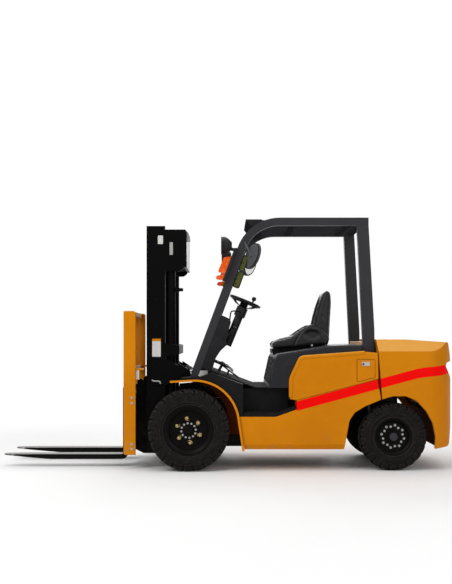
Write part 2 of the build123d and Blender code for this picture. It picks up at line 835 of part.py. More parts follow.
def rear_rim():
    w = REAR_TYRE_W / 2 - 10
    bore = REAR_SPINDLE_R + FIT
    bead = REAR_BEAD_R - SEAT
    profile = [
        (-42 + SEAT, bore),
        (-42 + SEAT, 60),
        (16, 60),
        (16, 136),
        (-w, 136),
        (-w, bead),
        (w, bead),
        (w, 152),
        (w - 12, 136),
        (40, 128, 8),
        (40, 62),
        (58, 58),
        (58, 47),
        (84, 44, 8),
        (84, 0),
        (40 + SEAT, 0),
        (40 + SEAT, bore),
    ]
    return turned(profile, REAR_X, REAR_Y, REAR_R)


def outer_mast():
    inner = MAST_OUT - CHANNEL_W
    web = MAST_OUT - CHANNEL_T
    channel = block(MAST_REAR, MAST_FRONT, inner, MAST_OUT, MAST_FOOT, MAST_TOP)
    inside = (MAST_REAR + CHANNEL_T, MAST_FRONT - CHANNEL_T)
    channel -= block(*inside, inner - 1, web, MAST_FOOT - 1, MAST_TOP + 1)
    roller_z = MAST_TOP - 64
    roller = rod((ROLLER_X, BEAM_WEB_OUT + 2, roller_z), (ROLLER_X, BEAM_OUT, roller_z), 55.6)
    channel += roller + rod((ROLLER_X, BEAM_OUT - 1, roller_z), (ROLLER_X, web + 1, roller_z), 25)
    rear = MAST_REAR + 1
    top = MAST_TOP - 31
    low = UPPER_TIE_Z - 38
    tie = [(rear, low), (60, low, 60), (27, low + 108, 30), (27, top, 20), (rear, top)]
    cheek = [(rear, 985), (92, 1005), (92, 1085), (rear, 1105)]
    bracket = across(
        [
            (332, 973, 8),
            (212, 973, 30),
            (-4, 845, 25),
            (0, 800, 25),
            (200, 735, 60),
            (332, 735, 8),
        ],
        MAST_OUT - 1,
        MAST_OUT + 18,
    )
    pin_from = (TILT_MAST_X, TILT_Y - 22, TILT_MAST_Z)
    pin = rod(pin_from, (TILT_MAST_X, MAST_OUT + 23, TILT_MAST_Z), TILT_PIN_R)
    foot = [(-90, FRONT_R - 90), (130, 160), (MAST_REAR, 160)]
    foot += [(MAST_REAR, 260), (130, 430), (-90, FRONT_R + 90)]
    foot = across(foot, MAST_FOOT_IN, MAST_FOOT_OUT)
    foot += rod((0, MAST_FOOT_IN, FRONT_R), (0, MAST_FOOT_OUT, FRONT_R), 125)
    foot -= rod((0, MAST_FOOT_IN - 15, FRONT_R), (0, MAST_FOOT_OUT + 15, FRONT_R), JOURNAL_R + FIT)
    sole = block(MAST_REAR, MAST_FRONT, CARRIAGE_OUT + 6, MAST_OUT, MAST_FOOT, MAST_FOOT + 24)
    side = channel + bracket + pin + foot + sole
    side += across(tie, web + 4, MAST_OUT) + across(cheek, web + 4, MAST_OUT)
    z = UPPER_TIE_Z
    anchor = [(27, z), (200, z), (200, z + 20), (50, z + 70), (27, z + 70)]
    side += across(anchor, CHAIN_Y - 15, CHAIN_Y + 15)
    mast = side + other_side(side)
    mast += block(27, 50, -web - 5, web + 5, UPPER_TIE_Z, MAST_TOP - 44)
    mast += block(92, 114, -web - 5, web + 5, 1005, 1085)
    mast += block(126, MAST_REAR + 1, -MAST_OUT + 2, MAST_OUT - 2, MAST_FOOT, 240)
    return mast


def lift_barrels():
    tube = rod((LIFT_X, LIFT_Y, 240), (LIFT_X, LIFT_Y, LIFT_HEAD_Z - 40), LIFT_R - 2)
    head = rod((LIFT_X, LIFT_Y, LIFT_HEAD_Z - 41), (LIFT_X, LIFT_Y, LIFT_HEAD_Z), LIFT_R)
    bore = rod((LIFT_X, LIFT_Y, 260), (LIFT_X, LIFT_Y, LIFT_HEAD_Z - 40), LIFT_R - 9)
    neck = rod((LIFT_X, LIFT_Y, 260), (LIFT_X, LIFT_Y, LIFT_HEAD_Z + 1), LIFT_ROD_R + FIT)
    return both(tube + head - bore - neck)


def lift_rods():
    low = LIFT_HEAD_Z - LIFT_STROKE - 90
    shaft = rod((LIFT_X, LIFT_Y, low), (LIFT_X, LIFT_Y, ROD_TOP_Z), LIFT_ROD_R)
    piston = rod((LIFT_X, LIFT_Y, low), (LIFT_X, LIFT_Y, low + 40), LIFT_R - 9 - FIT)
    return both(shaft + piston)


def inner_mast():
    low = 182
    high = MAST_TOP - 10
    beam = block(BEAM_REAR, BEAM_FRONT, BEAM_IN, BEAM_OUT, low, high)
    beam -= block(BEAM_REAR + BEAM_T, BEAM_FRONT - BEAM_T, BEAM_IN - 1, BEAM_WEB_IN, low - 1, high + 1)
    beam -= block(BEAM_REAR + BEAM_T, BEAM_FRONT - BEAM_T, BEAM_WEB_OUT, BEAM_OUT + 1, low - 1, high + 1)
    web = MAST_OUT - CHANNEL_T
    reach = (MAST_FRONT - MAST_REAR) / 2 - CHANNEL_T - 0.4
    beam += rod((ROLLER_X, BEAM_OUT + 1, 260), (ROLLER_X, web - 8, 260), reach)
    beam += rod((ROLLER_X, BEAM_WEB_OUT - 1, 260), (ROLLER_X, BEAM_OUT + 2, 260), 25)
    beam += block(LIFT_X - 40, MAST_REAR - 5, BEAM_IN + 5, LIFT_Y + 32, ROD_TOP_Z, ROD_TOP_Z + 35)
    beam += block(LIFT_X - 40, BEAM_REAR + 6, BEAM_IN + 5, BEAM_OUT - 2, ROD_TOP_Z, ROD_TOP_Z + 35)
    for near in (CHAIN_Y - 34, CHAIN_Y + 22):
        beam += block(BEAM_REAR, SHEAVE_X + 26, near, near + 12, SHEAVE_Z - 130, SHEAVE_Z + 26)
    beam += rod((SHEAVE_X, CHAIN_Y - 40, SHEAVE_Z), (SHEAVE_X, CHAIN_Y + 40, SHEAVE_Z), 16)
    mast = beam + other_side(beam)
    for bottom, top in ((190, 280), (1020, 1090), (MAST_TOP - 294, MAST_TOP - 164)):
        mast += block(BEAM_REAR, BEAM_REAR + 18, -BEAM_IN - 1, BEAM_IN + 1, bottom, top)
    return mast


def chain_sheaves():
    profile = [(-18, 16 + FIT), (-18, SHEAVE_R + 14), (-15, SHEAVE_R + 14), (-15, SHEAVE_R)]
    profile += [(15, SHEAVE_R), (15, SHEAVE_R + 14), (18, SHEAVE_R + 14), (18, 16 + FIT)]
    return both(turned(profile, SHEAVE_X, CHAIN_Y, SHEAVE_Z))


def chain_strand(x, z_from, z_to):
    """A straight leaf chain: link plates of the full width, with the pins' necks between them."""
    half = CHAIN_W / 2
    neck = half - 4
    edge = []
    count = max(int((z_to - z_from) / CHAIN_PITCH), 1)
    pitch = (z_to - z_from) / count
    for link in range(count):
        low = z_from + link * pitch
        edge += [(neck, low), (half, low + pitch * 0.12)]
        edge += [(half, low + pitch * 0.74), (neck, low + pitch * 0.86)]
    edge.append((neck, z_to))
    corners = [(CHAIN_Y + y, z) for y, z in edge] + [(CHAIN_Y - y, z) for y, z in reversed(edge)]
    return lengthwise(corners, x, x + CHAIN_T)


def chain_front():
    return both(chain_strand(SHEAVE_X + SHEAVE_R + SEAT, CHAIN_FOOT_Z, SHEAVE_Z))


def chain_rear():
    near = SHEAVE_R + SEAT
    half = CHAIN_W / 2
    strand = chain_strand(SHEAVE_X - near - CHAIN_T, CHAIN_ANCHOR_Z, SHEAVE_Z + 1)
    ring = [(-half, near), (-half, near + CHAIN_T), (half, near + CHAIN_T), (half, near)]
    wrap = turned(ring, SHEAVE_X, CHAIN_Y, SHEAVE_Z)
    wrap &= block(0, 600, 0, CHAIN_Y + 100, SHEAVE_Z + 0.4, SHEAVE_Z + 200)
    return both(strand + wrap)


def carriage():
    low = BAR_LOW_Z
    high = BAR_LOW_Z + CARRIAGE_H
    back = BAR_FACE - BAR_T
    plate = across(
        [
            (250, 170, 20),
            (250, 640, 20),
            (300, 690, 20),
            (400, 690, 20),
            (back + 1, high - 75),
            (back + 1, low - 10),
            (420, 110, 20),
            (300, 110, 20),
        ],
        CARRIAGE_OUT - 32,
        CARRIAGE_OUT,
    )
    side = plate
    reach = (BEAM_FRONT - BEAM_REAR) / 2 - BEAM_T - 0.4
    for z in (230, 590):
        side += rod((ROLLER_X, BEAM_IN + 1, z), (ROLLER_X, BEAM_WEB_IN - 2, z), reach)
        side += rod((ROLLER_X, CARRIAGE_OUT - 1, z), (ROLLER_X, BEAM_IN + 2, z), 22)
    body = side + other_side(side)
    body += block(back, BAR_FACE, -BAR_HALF, BAR_HALF, low, low + BAR_H)
    body += block(back, BAR_FACE, -BAR_HALF, BAR_HALF, high - BAR_H, high)
    body += block(288, 336, -CARRIAGE_OUT + 31, CARRIAGE_OUT - 31, 360, 400)
    return body


def load_backrest():
    side = [(468, 128), (468, 1375), (482, BACKREST_TOP), (573, BACKREST_TOP, 10), (573, 128, 20)]
    post = across(side, BAR_HALF, BAR_HALF + POST_T)
    rest = post + other_side(post)
    inner = BAR_HALF + 1
    rest += block(500, 560, -inner, inner, BACKREST_TOP - 42, BACKREST_TOP)
    rest += block(500, 560, -inner, inner, 862, 888)
    for count in range(-3, 4):
        place = count * BAR_HALF * 0.26
        rest += block(505, 555, place - 8, place + 8, 870, BACKREST_TOP - 20)
    return rest


def fork():
    top = FORK_BOTTOM + FORK_T
    back = BAR_FACE + SEAT
    tip = FORK_FACE + FORK_LENGTH
    upper = BAR_LOW_Z + CARRIAGE_H
    side = [
        (back, FORK_BOTTOM, 55),
        (back, upper + SEAT),
        (BAR_FACE - BAR_T - SEAT, upper + SEAT),
        (BAR_FACE - BAR_T - SEAT, upper - 22),
        (BAR_FACE - BAR_T - 18, upper - 22),
        (BAR_FACE - BAR_T - 18, upper + 42, 12),
        (FORK_FACE, upper + 42, 20),
        (FORK_FACE, top, 12),
        (tip, top),
        (tip, top - 10),
        (tip - 420, FORK_BOTTOM),
    ]
    blade = across(side, FORK_Y - FORK_W / 2, FORK_Y + FORK_W / 2)
    hook = (BAR_FACE - BAR_T + 8, back + 2)
    blade += block(*hook, FORK_Y - 40, FORK_Y + 40, BAR_LOW_Z - 38, BAR_LOW_Z - SEAT)
    half = FORK_W / 2
    nose = [
        (300, FORK_Y - half),
        (tip - 190, FORK_Y - half, 200),
        (tip, FORK_Y - 36, 25),
        (tip, FORK_Y + 36, 25),
        (tip - 190, FORK_Y + half, 200),
        (300, FORK_Y + half),
    ]
    return blade & upward(nose, 0, 1000)


def tilt_way(distance):
    """A point on the tilt cylinder's centre line, measured from its base pin."""
    run = math.hypot(TILT_MAST_X - TILT_BASE_X, TILT_MAST_Z - TILT_BASE_Z)
    part = distance / run
    x = TILT_BASE_X + (TILT_MAST_X - TILT_BASE_X) * part
    return (x, TILT_Y, TILT_BASE_Z + (TILT_MAST_Z - TILT_BASE_Z) * part)


def tilt_barrels():
    eye = rod((TILT_BASE_X, TILT_Y - 16, TILT_BASE_Z), (TILT_BASE_X, TILT_Y + 19, TILT_BASE_Z), 36)
    tube = rod(tilt_way(62), tilt_way(430), TILT_R) + rod(tilt_way(0), tilt_way(64), 18)
    bore = rod(tilt_way(90), tilt_way(400), TILT_R - 8)
    neck = rod(tilt_way(90), tilt_way(431), TILT_ROD_R + FIT)
    pin_from = (TILT_BASE_X, TILT_Y - 60, TILT_BASE_Z)
    pin = rod(pin_from, (TILT_BASE_X, TILT_Y + 60, TILT_BASE_Z), TILT_PIN_R + FIT)
    return both(eye + tube - bore - neck - pin)


def tilt_rods():
    run = math.hypot(TILT_MAST_X - TILT_BASE_X, TILT_MAST_Z - TILT_BASE_Z)
    shaft = rod(tilt_way(220), tilt_way(run - 20), TILT_ROD_R)
    piston = rod(tilt_way(220), tilt_way(250), TILT_R - 8 - FIT)
    eye = rod((TILT_MAST_X, TILT_Y - 17, TILT_MAST_Z), (TILT_MAST_X, TILT_Y + 17, TILT_MAST_Z), 46)
    hole_from = (TILT_MAST_X, TILT_Y - 60, TILT_MAST_Z)
    hole = rod(hole_from, (TILT_MAST_X, TILT_Y + 60, TILT_MAST_Z), TILT_PIN_R + TILT_PLAY)
    return both(shaft + piston + eye - hole)


def hood():
    body = [
        (-694, FLOOR_Z + SEAT),
        (-752, 986),
        (-774, 1012, 30),
        (-1224, 1085, 900),
        (-1509, 1092, 12),
        (-1509, FLOOR_Z + SEAT),
    ]
    below = outline(spread([(-867, 0), (-867, 990), (-1000, 990), (-1600, 1030), (-1600, 0)]))
    face = outline(spread(body)) - offset(cover_face(), amount=4) - below
    half = BODY_HALF - 10
    shell = across(face.faces().sort_by(SortBy.AREA)[-1], -half, half)
    shoulders = [edge for edge in shell.edges() if is_shoulder(edge, half)]
    shell = fillet(shoulders, HOOD_ROUND)
    room = [(-717, 600), (-775, 985), (-1224, 1060), (-1487, 1067), (-1487, 600)]
    shell -= across(spread(room), -half + 24, half - 24)
    for place in (-HINGE_Y, HINGE_Y):
        shell -= block(HINGE_X - 30, HINGE_X + 16, place - 22, place + 22, 1050, 1100)
        shell += rod((HINGE_X, place - 30, HINGE_Z), (HINGE_X, place + 30, HINGE_Z), HINGE_PIN_R)
    return shell


def is_shoulder(edge, half):
    """Whether an edge runs along one of the hood's upper outer corners."""
    middle = edge @ 0.5
    level = abs((edge @ 1).Z - (edge @ 0).Z) < abs((edge @ 1).X - (edge @ 0).X)
    return abs(abs(middle.Y) - half) < 0.01 and level and middle.Z > hood_line(middle.X) - 8


def hood_line(x):
    """Height of the hood's top at a place along it."""
    front = along(-774)
    crown = along(-1224)
    back = along(-1509)
    if x > crown:
        return 1012 + 73 * (front - x) / (front - crown)
    return 1085 + 7 * (crown - x) / (crown - back)


def seat_line(x):
    """Height of the underside of the seat cushion."""
    return 1050 + (-740 - x) * 0.0933


def seat_base():
    shape = [(-740, 1000), (-740, seat_line(-740)), (-1190, seat_line(-1190)), (-1190, 1000)]
    base = across(spread(shape), -200, 200)
    cut = [(-600, 900), (-600, 1012), (-774, 1012.3), (-1224, 1085.3), (-1400, 1090), (-1400, 900)]
    return base - across(spread(cut), -300, 300)


def seat_cushion():
    low = SEAT
    shape = [
        (-716, seat_line(-716) + low),
        (-712, 1104, 24),
        (-1000, 1180),
        (-1110, 1186),
        (-1185, 1150),
        (-1185, seat_line(-1185) + low),
    ]
    return across(spread(shape), -190, 190)


def seat_sides():
    shape = [
        (-735, 1056),
        (-735, 1104, 20),
        (-1006, 1237, 60),
        (-1052, 1261, 40),
        (-1169, 1245, 60),
        (-1254, 1152, 40),
        (-1239, 1098),
        (-1180, 1094),
    ]
    return both(across(spread(shape), 190.3, 250))


def seat_back():
    shape = [
        (-1113, 1189),
        (-1099, 1276, 80),
        (-1196, 1560, 24),
        (-1246, 1564, 24),
        (-1259, 1480, 100),
        (-1246, 1120, 30),
        (-1188, 1110, 10),
        (-1188, 1152),
    ]
    return across(spread(shape), -190, 190)


def chassis_parts():
    return {
        "frame": frame(),
        "side_tanks": side_tanks(),
        "side_covers": side_covers(),
        "fenders": fenders(),
        "cowls": cowls(),
        "step_plates": step_plates(),
        "floor_plate": floor_plate(),
        "dash": dash(),
        "steering_column": steering_column(),
        "controls": controls(),
        "counterweight": counterweight(),
        "rear_lamps": rear_lamps(),
        "rear_grille": rear_grille(),
        "powertrain": powertrain(),
        "radiator": radiator(),
        "radiator_cover": radiator_cover(),
        "guard_side_tubes": guard_side_tubes(),
        "guard_rear_pillars": guard_rear_pillars(),
        "guard_roof": guard_roof(),
        "guard_slats": guard_slats(),
        "lamp_brackets": lamp_brackets(),
        "head_lamps": both(head_lamp()),
        "turn_lamps": turn_lamps(),
        "mirrors": mirrors(),
        "drive_axle": drive_axle(),
        "steer_axle": steer_axle(),
    }


def moving_parts():
    return {
        "fuel_door": fuel_door(),
        "hood": hood(),
        "seat_base": seat_base(),
        "seat_cushion": seat_cushion(),
        "seat_sides": seat_sides(),
        "seat_back": seat_back(),
        "steering_wheel": steering_wheel(),
        "front_tyre_left": front_tyre(),
        "front_tyre_right": other_side(front_tyre()),
        "front_rim_left": front_rim(),
        "front_rim_right": other_side(front_rim()),
        "rear_tyre_left": rear_tyre(),
        "rear_tyre_right": other_side(rear_tyre()),
        "rear_rim_left": rear_rim(),
        "rear_rim_right": other_side(rear_rim()),
        "knuckle_left": knuckle(),
        "knuckle_right": other_side(knuckle()),
        "outer_mast": outer_mast(),
        "lift_barrels": lift_barrels(),
        "tilt_barrels": tilt_barrels(),
        "tilt_rods": tilt_rods(),
        "inner_mast": inner_mast(),
        "lift_rods": lift_rods(),
        "chain_sheaves": chain_sheaves(),
        "chain_front": chain_front(),
        "chain_rear": chain_rear(),
        "carriage": carriage(),
        "load_backrest": load_backrest(),
        "fork_left": fork(),
        "fork_right": other_side(fork()),
    }


os.makedirs("parts", exist_ok=True)
for name, shape in {**chassis_parts(), **moving_parts()}.items():
    export_step(Pos(AXLE_X, 0, 0) * shape, f"parts/{name}.step")
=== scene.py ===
import math

import bmesh
import bpy
from mathutils import Matrix, Vector


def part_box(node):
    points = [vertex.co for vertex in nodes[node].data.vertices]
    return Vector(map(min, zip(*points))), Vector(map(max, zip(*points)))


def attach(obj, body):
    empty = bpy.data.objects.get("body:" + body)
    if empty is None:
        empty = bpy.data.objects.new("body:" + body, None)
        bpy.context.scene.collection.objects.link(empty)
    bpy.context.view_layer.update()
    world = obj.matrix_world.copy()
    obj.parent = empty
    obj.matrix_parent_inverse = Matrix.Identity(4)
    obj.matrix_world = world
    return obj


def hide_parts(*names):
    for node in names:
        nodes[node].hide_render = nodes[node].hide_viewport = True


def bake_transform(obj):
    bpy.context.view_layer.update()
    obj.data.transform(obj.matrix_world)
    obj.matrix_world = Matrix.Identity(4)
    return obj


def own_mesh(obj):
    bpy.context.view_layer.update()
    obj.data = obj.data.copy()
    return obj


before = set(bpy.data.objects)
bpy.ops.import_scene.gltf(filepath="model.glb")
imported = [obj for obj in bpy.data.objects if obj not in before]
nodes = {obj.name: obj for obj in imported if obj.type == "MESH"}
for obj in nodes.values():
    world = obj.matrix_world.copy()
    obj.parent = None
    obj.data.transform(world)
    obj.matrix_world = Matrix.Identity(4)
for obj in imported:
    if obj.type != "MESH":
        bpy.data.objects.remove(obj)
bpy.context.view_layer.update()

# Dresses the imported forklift: finishes, tyres, seat, chains and small fittings.
# Metres; X runs forward, Y to the left, Z up.

# Places taken from the frame
FRONT_LOW, FRONT_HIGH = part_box("front_tyre_left")
REAR_LOW, REAR_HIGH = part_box("rear_tyre_left")
FRONT_X = (FRONT_LOW.x + FRONT_HIGH.x) / 2
FRONT_Y = (FRONT_LOW.y + FRONT_HIGH.y) / 2
FRONT_R = (FRONT_HIGH.z - FRONT_LOW.z) / 2
FRONT_W = FRONT_HIGH.y - FRONT_LOW.y
REAR_X = (REAR_LOW.x + REAR_HIGH.x) / 2
REAR_Y = (REAR_LOW.y + REAR_HIGH.y) / 2
REAR_R = (REAR_HIGH.z - REAR_LOW.z) / 2
REAR_W = REAR_HIGH.y - REAR_LOW.y
BODY_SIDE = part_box("side_tanks")[1].y
TAIL_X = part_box("counterweight")[0].x

# Camera, fitted to the photo: the horizon and the axis of view in pixels of the frame
IMAGE_H = 584
HORIZON_PX = 336
FOCAL_PX = 917
CAMERA_PLACE = Vector((-0.004, 8.516, 1.168))
SENSOR = 36.0

# Colours, as linear light
WHITE = (1, 1, 1, 1)
AMBER = (0.60, 0.205, 0.0022, 1)
WARM_AMBER = (0.54, 0.1763, 0.00176, 1)
# Paler amber for the painted highlight on the body's tops
HIGHLIGHT_AMBER = (0.68, 0.34, 0.07, 1)
RUBBED_AMBER = (0.85, 0.45, 0.06, 1)
STRIPE_RED = (0.84, 0.0015, 0.0008, 1)
SHADE_BROWN = (0.10, 0.022, 0.003, 1)
# Dark brown for the fender's sheet that faces the wheel
WHEEL_SHEET_DARK = (0.07, 0.03, 0.012, 1)
DUST = (0.20, 0.165, 0.13, 1)
MAST_BLACK = (0.0034, 0.0034, 0.0036, 1)
UNDER_BLACK = (0.0056, 0.0050, 0.0046, 1)
RIM_BLACK = (0.0030, 0.0024, 0.0022, 1)
GUARD_GREY = (0.026, 0.026, 0.029, 1)
# Edge colours for paint: partly rubbed wear, partly painted highlight
GUARD_EDGE_WEAR_AND_HIGHLIGHT = (0.11, 0.11, 0.115, 1)
EDGE_WEAR_AND_HIGHLIGHT_GREY = (0.09, 0.09, 0.092, 1)
ENGINE_GREY = (0.10, 0.105, 0.11, 1)
HOOD_GREY = (0.0125, 0.0125, 0.0145, 1)
COWL_BLACK = (0.0078, 0.0078, 0.0082, 1)
DASH_BLACK = (0.014, 0.014, 0.0155, 1)
KNOB_BLACK = (0.008, 0.008, 0.0088, 1)
SHELL_GREY = (0.075, 0.077, 0.083, 1)
PALE_GREY = (0.33, 0.33, 0.32, 1)
RUBBER_BLACK = (0.0056, 0.0046, 0.0042, 1)
# Paler rubber on ridges and lug edges: partly wear, partly painted highlight
RUBBER_WEAR_AND_HIGHLIGHT = (0.055, 0.05, 0.047, 1)
MAT_BLACK = (0.009, 0.009, 0.009, 1)
MAT_WORN = (0.022, 0.020, 0.018, 1)
VINYL_BLACK = (0.0075, 0.0075, 0.0082, 1)
VINYL_CREASE = (0.0125, 0.0125, 0.0138, 1)
BARE_STEEL = (0.34, 0.33, 0.32, 1)
CHROME = (0.72, 0.73, 0.74, 1)
CHAIN_STEEL = (0.13, 0.12, 0.11, 1)
CORE_GREY = (0.10, 0.10, 0.10, 1)
BRASS = (0.45, 0.33, 0.155, 1)
ZINC = (0.40, 0.40, 0.38, 1)
LENS_AMBER = (0.60, 0.075, 0.003, 1)
LENS_RED = (0.42, 0.006, 0.004, 1)
LENS_CLEAR = (0.62, 0.63, 0.62, 1)
OLIVE = (0.046, 0.051, 0.005, 1)
MIRROR_DULL = (0.62, 0.61, 0.58, 1)
MIRROR_BRIGHT = (0.70, 0.69, 0.66, 1)
LABEL_WHITE = (0.56, 0.55, 0.53, 1)
LABEL_AGED = (0.50, 0.48, 0.43, 1)
FLOOR_DULL = (0.80, 0.80, 0.80, 1)
FLOOR_PALE = (0.84, 0.84, 0.84, 1)

# The red stripe: how far behind the front axle it runs, where it starts, and how it climbs
STRIPE_FROM = 0.9325
STRIPE_TO = 2.262
STRIPE_LOW = 0.519865
STRIPE_RISE = 0.27
STRIPE_WIDE = 0.084
ARCH_REACH = 0.43


def toned(colour, factor, lift=0.0):
    """A colour made darker or paler."""
    return tuple(min(c * factor + lift, 1) for c in colour[:3]) + (1,)


class Wire:
    """An output of a shader node. Arithmetic on it adds Math nodes to the same tree."""

    def __init__(self, tree, socket=None):
        self.tree = tree
        self.socket = socket

    def node(self, kind, settings=None, sockets=None, out=0):
        """Any node: its type, its settings, and the values or links of its sockets."""
        made = self.tree.nodes.new(kind)
        for name, value in (settings or {}).items():
            setattr(made, name, value)
        for key, value in (sockets or {}).items():
            if isinstance(value, Wire):
                self.tree.links.new(value.socket, made.inputs[key])
            else:
                made.inputs[key].default_value = value
        return Wire(self.tree, made.outputs[out])

    def math(self, operation, *values):
        return self.node("ShaderNodeMath", {"operation": operation}, dict(enumerate(values)))

    def __add__(self, other):
        return self.math("ADD", self, other)

    def __radd__(self, other):
        return self.math("ADD", other, self)

    def __sub__(self, other):
        return self.math("SUBTRACT", self, other)

    def __rsub__(self, other):
        return self.math("SUBTRACT", other, self)

    def __mul__(self, other):
        return self.math("MULTIPLY", self, other)

    def __pow__(self, other):
        return self.math("POWER", self, other)

    def __gt__(self, other):
        return self.math("GREATER_THAN", self, other)

    def __lt__(self, other):
        return self.math("LESS_THAN", self, other)

    def __or__(self, other):
        return self.math("MAXIMUM", self, other)

    def __abs__(self):
        return self.math("ABSOLUTE", self)

    def rise(self, low, high):
        """0 below low and 1 above high, smooth between."""
        sockets = {"Value": self, "From Min": low, "From Max": high}
        return self.node("ShaderNodeMapRange", {"interpolation_type": "SMOOTHSTEP"}, sockets)

    def between(self, low, high, soft):
        return self.rise(low - soft, low + soft) * (1 - self.rise(high - soft, high + soft))

    def tint(self, below, above):
        """A colour that goes from one to another as this value goes from 0 to 1."""
        return self.node("ShaderNodeMix", {"data_type": "RGBA"}, {0: self, 6: below, 7: above}, 2)


class Finish:
    """A procedural material under construction, with the surface values that most of them use."""

    def __init__(self, name):
        self.material = bpy.data.materials.new(name)
        self.material.use_nodes = True
        self.tree = self.material.node_tree
        self.shader = self.tree.nodes["Principled BSDF"]
        self.start = Wire(self.tree)
        self.place = self.start.node("ShaderNodeTexCoord", out="Object")
        split = self.start.node("ShaderNodeSeparateXYZ", None, {0: self.place})
        node = split.socket.node
        self.x, self.y, self.z = (Wire(self.tree, node.outputs[i]) for i in range(3))

    def grain(self, size, detail=4.0, rough=0.55):
        sockets = {"Vector": self.place, "Scale": 1 / size, "Detail": detail, "Roughness": rough}
        return self.start.node("ShaderNodeTexNoise", None, sockets)

    def cells(self, size):
        return self.start.node("ShaderNodeTexVoronoi", None, {"Vector": self.place, "Scale": 1 / size})

    def soft_edges(self, radius):
        """The normal with the solid's edges rounded, and a mask of those edges."""
        rounded = self.start.node("ShaderNodeBevel", {"samples": 4}, {"Radius": radius})
        plain = self.start.node("ShaderNodeNewGeometry", out="Normal")
        sockets = {0: rounded, 1: plain}
        close = self.start.node("ShaderNodeVectorMath", {"operation": "DOT_PRODUCT"}, sockets, "Value")
        return rounded, 1 - close.rise(0.86, 0.995)

    def upward(self, normal):
        """How far a normal looks up: 1 on a level top."""
        return self.start.node("ShaderNodeSeparateXYZ", None, {0: normal}, 2)

    def bump(self, height, strength, distance, normal=None):
        sockets = {"Height": height, "Strength": strength, "Distance": distance}
        if normal is not None:
            sockets["Normal"] = normal
        return self.start.node("ShaderNodeBump", None, sockets)

    def set(self, **values):
        """Sockets of the shader by name, with _ for a space."""
        for name, value in values.items():
            target = self.shader.inputs[name.replace("_", " ")]
            if isinstance(value, Wire):
                self.tree.links.new(value.socket, target)
            else:
                target.default_value = value
        return self.material


def painted(name, colour, rough, edge_wear_and_highlight, edge_mark=0.35, gloss=0.2, dusty=0.5):
    """Paint over steel: slight unevenness, orange peel, paler edges that are partly rubbed wear and partly a
    painted highlight, and dust low down.
    """
    f = Finish(name)
    rounded, edge = f.soft_edges(0.004)
    blotch = f.grain(0.35, 3.0)
    fine = f.grain(0.004, 2.0)
    scuff = f.grain(0.03, 6.0, 0.7).rise(0.48, 0.66)
    base = blotch.rise(0.3, 0.7).tint(toned(colour, 0.86), colour)
    # Paler edges in patches: partly rubbed wear, partly a painted highlight along the edges.
    base = (edge * scuff * edge_mark).tint(base, edge_wear_and_highlight)
    low = (1 - f.z.rise(0.05, 0.55)) * f.grain(0.09, 6.0, 0.65).rise(0.42, 0.75) * dusty * 0.4
    base = low.tint(base, DUST)
    roughness = rough + blotch * 0.08 + low * 0.4 + scuff * 0.03
    normal = f.bump(fine, 0.12, 0.0012, rounded)
    return f.set(Base_Color=base, Roughness=roughness, Normal=normal, Specular_IOR_Level=gloss)


def body_amber():
    """The amber body paint, with the red stripe that climbs along the side, a painted highlight on the tops
    high up, and painted shade inside the rear wheel arch.
    """
    f = Finish("body_amber")
    rounded, edge = f.soft_edges(0.010)
    blotch = f.grain(0.4, 3.0)
    fine = f.grain(0.005, 2.0)
    run = FRONT_X - f.x
    low_line = STRIPE_LOW + (run - STRIPE_FROM) * STRIPE_RISE
    bent = run.rise(1.95, 2.25) * 0.035
    on_stripe = (f.z - low_line + bent).between(0.0, STRIPE_WIDE, 0.0012)
    on_side = abs(f.y).rise(BODY_SIDE - 0.13, BODY_SIDE - 0.128) * (run > STRIPE_FROM)
    stripe = on_stripe * on_side * (run < STRIPE_TO)
    base = blotch.rise(0.3, 0.7).tint(WARM_AMBER, AMBER)
    # Painted highlight: upward-facing tops and rounded top edges high on the body turn paler amber.
    painted_highlight = f.upward(rounded).rise(0.15, 0.6) * f.z.rise(0.82, 0.9) * (0.55 + blotch * 0.4)
    base = painted_highlight.tint(base, HIGHLIGHT_AMBER)
    base = stripe.tint(base, STRIPE_RED)
    scuff = f.grain(0.02, 6.0, 0.7).rise(0.55, 0.7)
    base = (edge * scuff * 0.15).tint(base, RUBBED_AMBER)
    low = (1 - f.z.rise(0.12, 0.42)) * f.grain(0.08, 6.0, 0.65).rise(0.5, 0.78) * 0.3
    base = low.tint(base, DUST)
    # Painted shade: inside the rear wheel arch the amber turns to shade brown, and rougher.
    reach = ((f.x - REAR_X) ** 2 + (f.z - REAR_R) ** 2) ** 0.5
    inside = 1 - abs(f.y).rise(BODY_SIDE - 0.047, BODY_SIDE - 0.042)
    inside = inside * (1 - reach.rise(ARCH_REACH, ARCH_REACH + 0.005))
    base = inside.tint(base, SHADE_BROWN)
    roughness = 0.30 + blotch * 0.10 + low * 0.4 + inside * 0.6
    normal = f.bump(fine, 0.10, 0.001, rounded)
    return f.set(Base_Color=base, Roughness=roughness, Normal=normal, Specular_IOR_Level=0.06)


def fender_amber():
    """The fender is amber, darker on the sheet that faces the wheel."""
    f = Finish("fender_amber")
    rounded = f.soft_edges(0.005)[0]
    outside = abs(f.y).rise(BODY_SIDE - 0.02, BODY_SIDE - 0.0085)
    cloud = f.grain(0.2, 3.0)
    # Darker towards brown-black on the sheet that faces the wheel, more in patches.
    sheet_dark = (1 - outside) * (0.12 + cloud * 0.25)
    base = sheet_dark.tint(AMBER, WHEEL_SHEET_DARK)
    normal = f.bump(f.grain(0.005, 2.0), 0.1, 0.001, rounded)
    return f.set(Base_Color=base, Roughness=0.34 + cloud * 0.1, Normal=normal, Specular_IOR_Level=0.10)


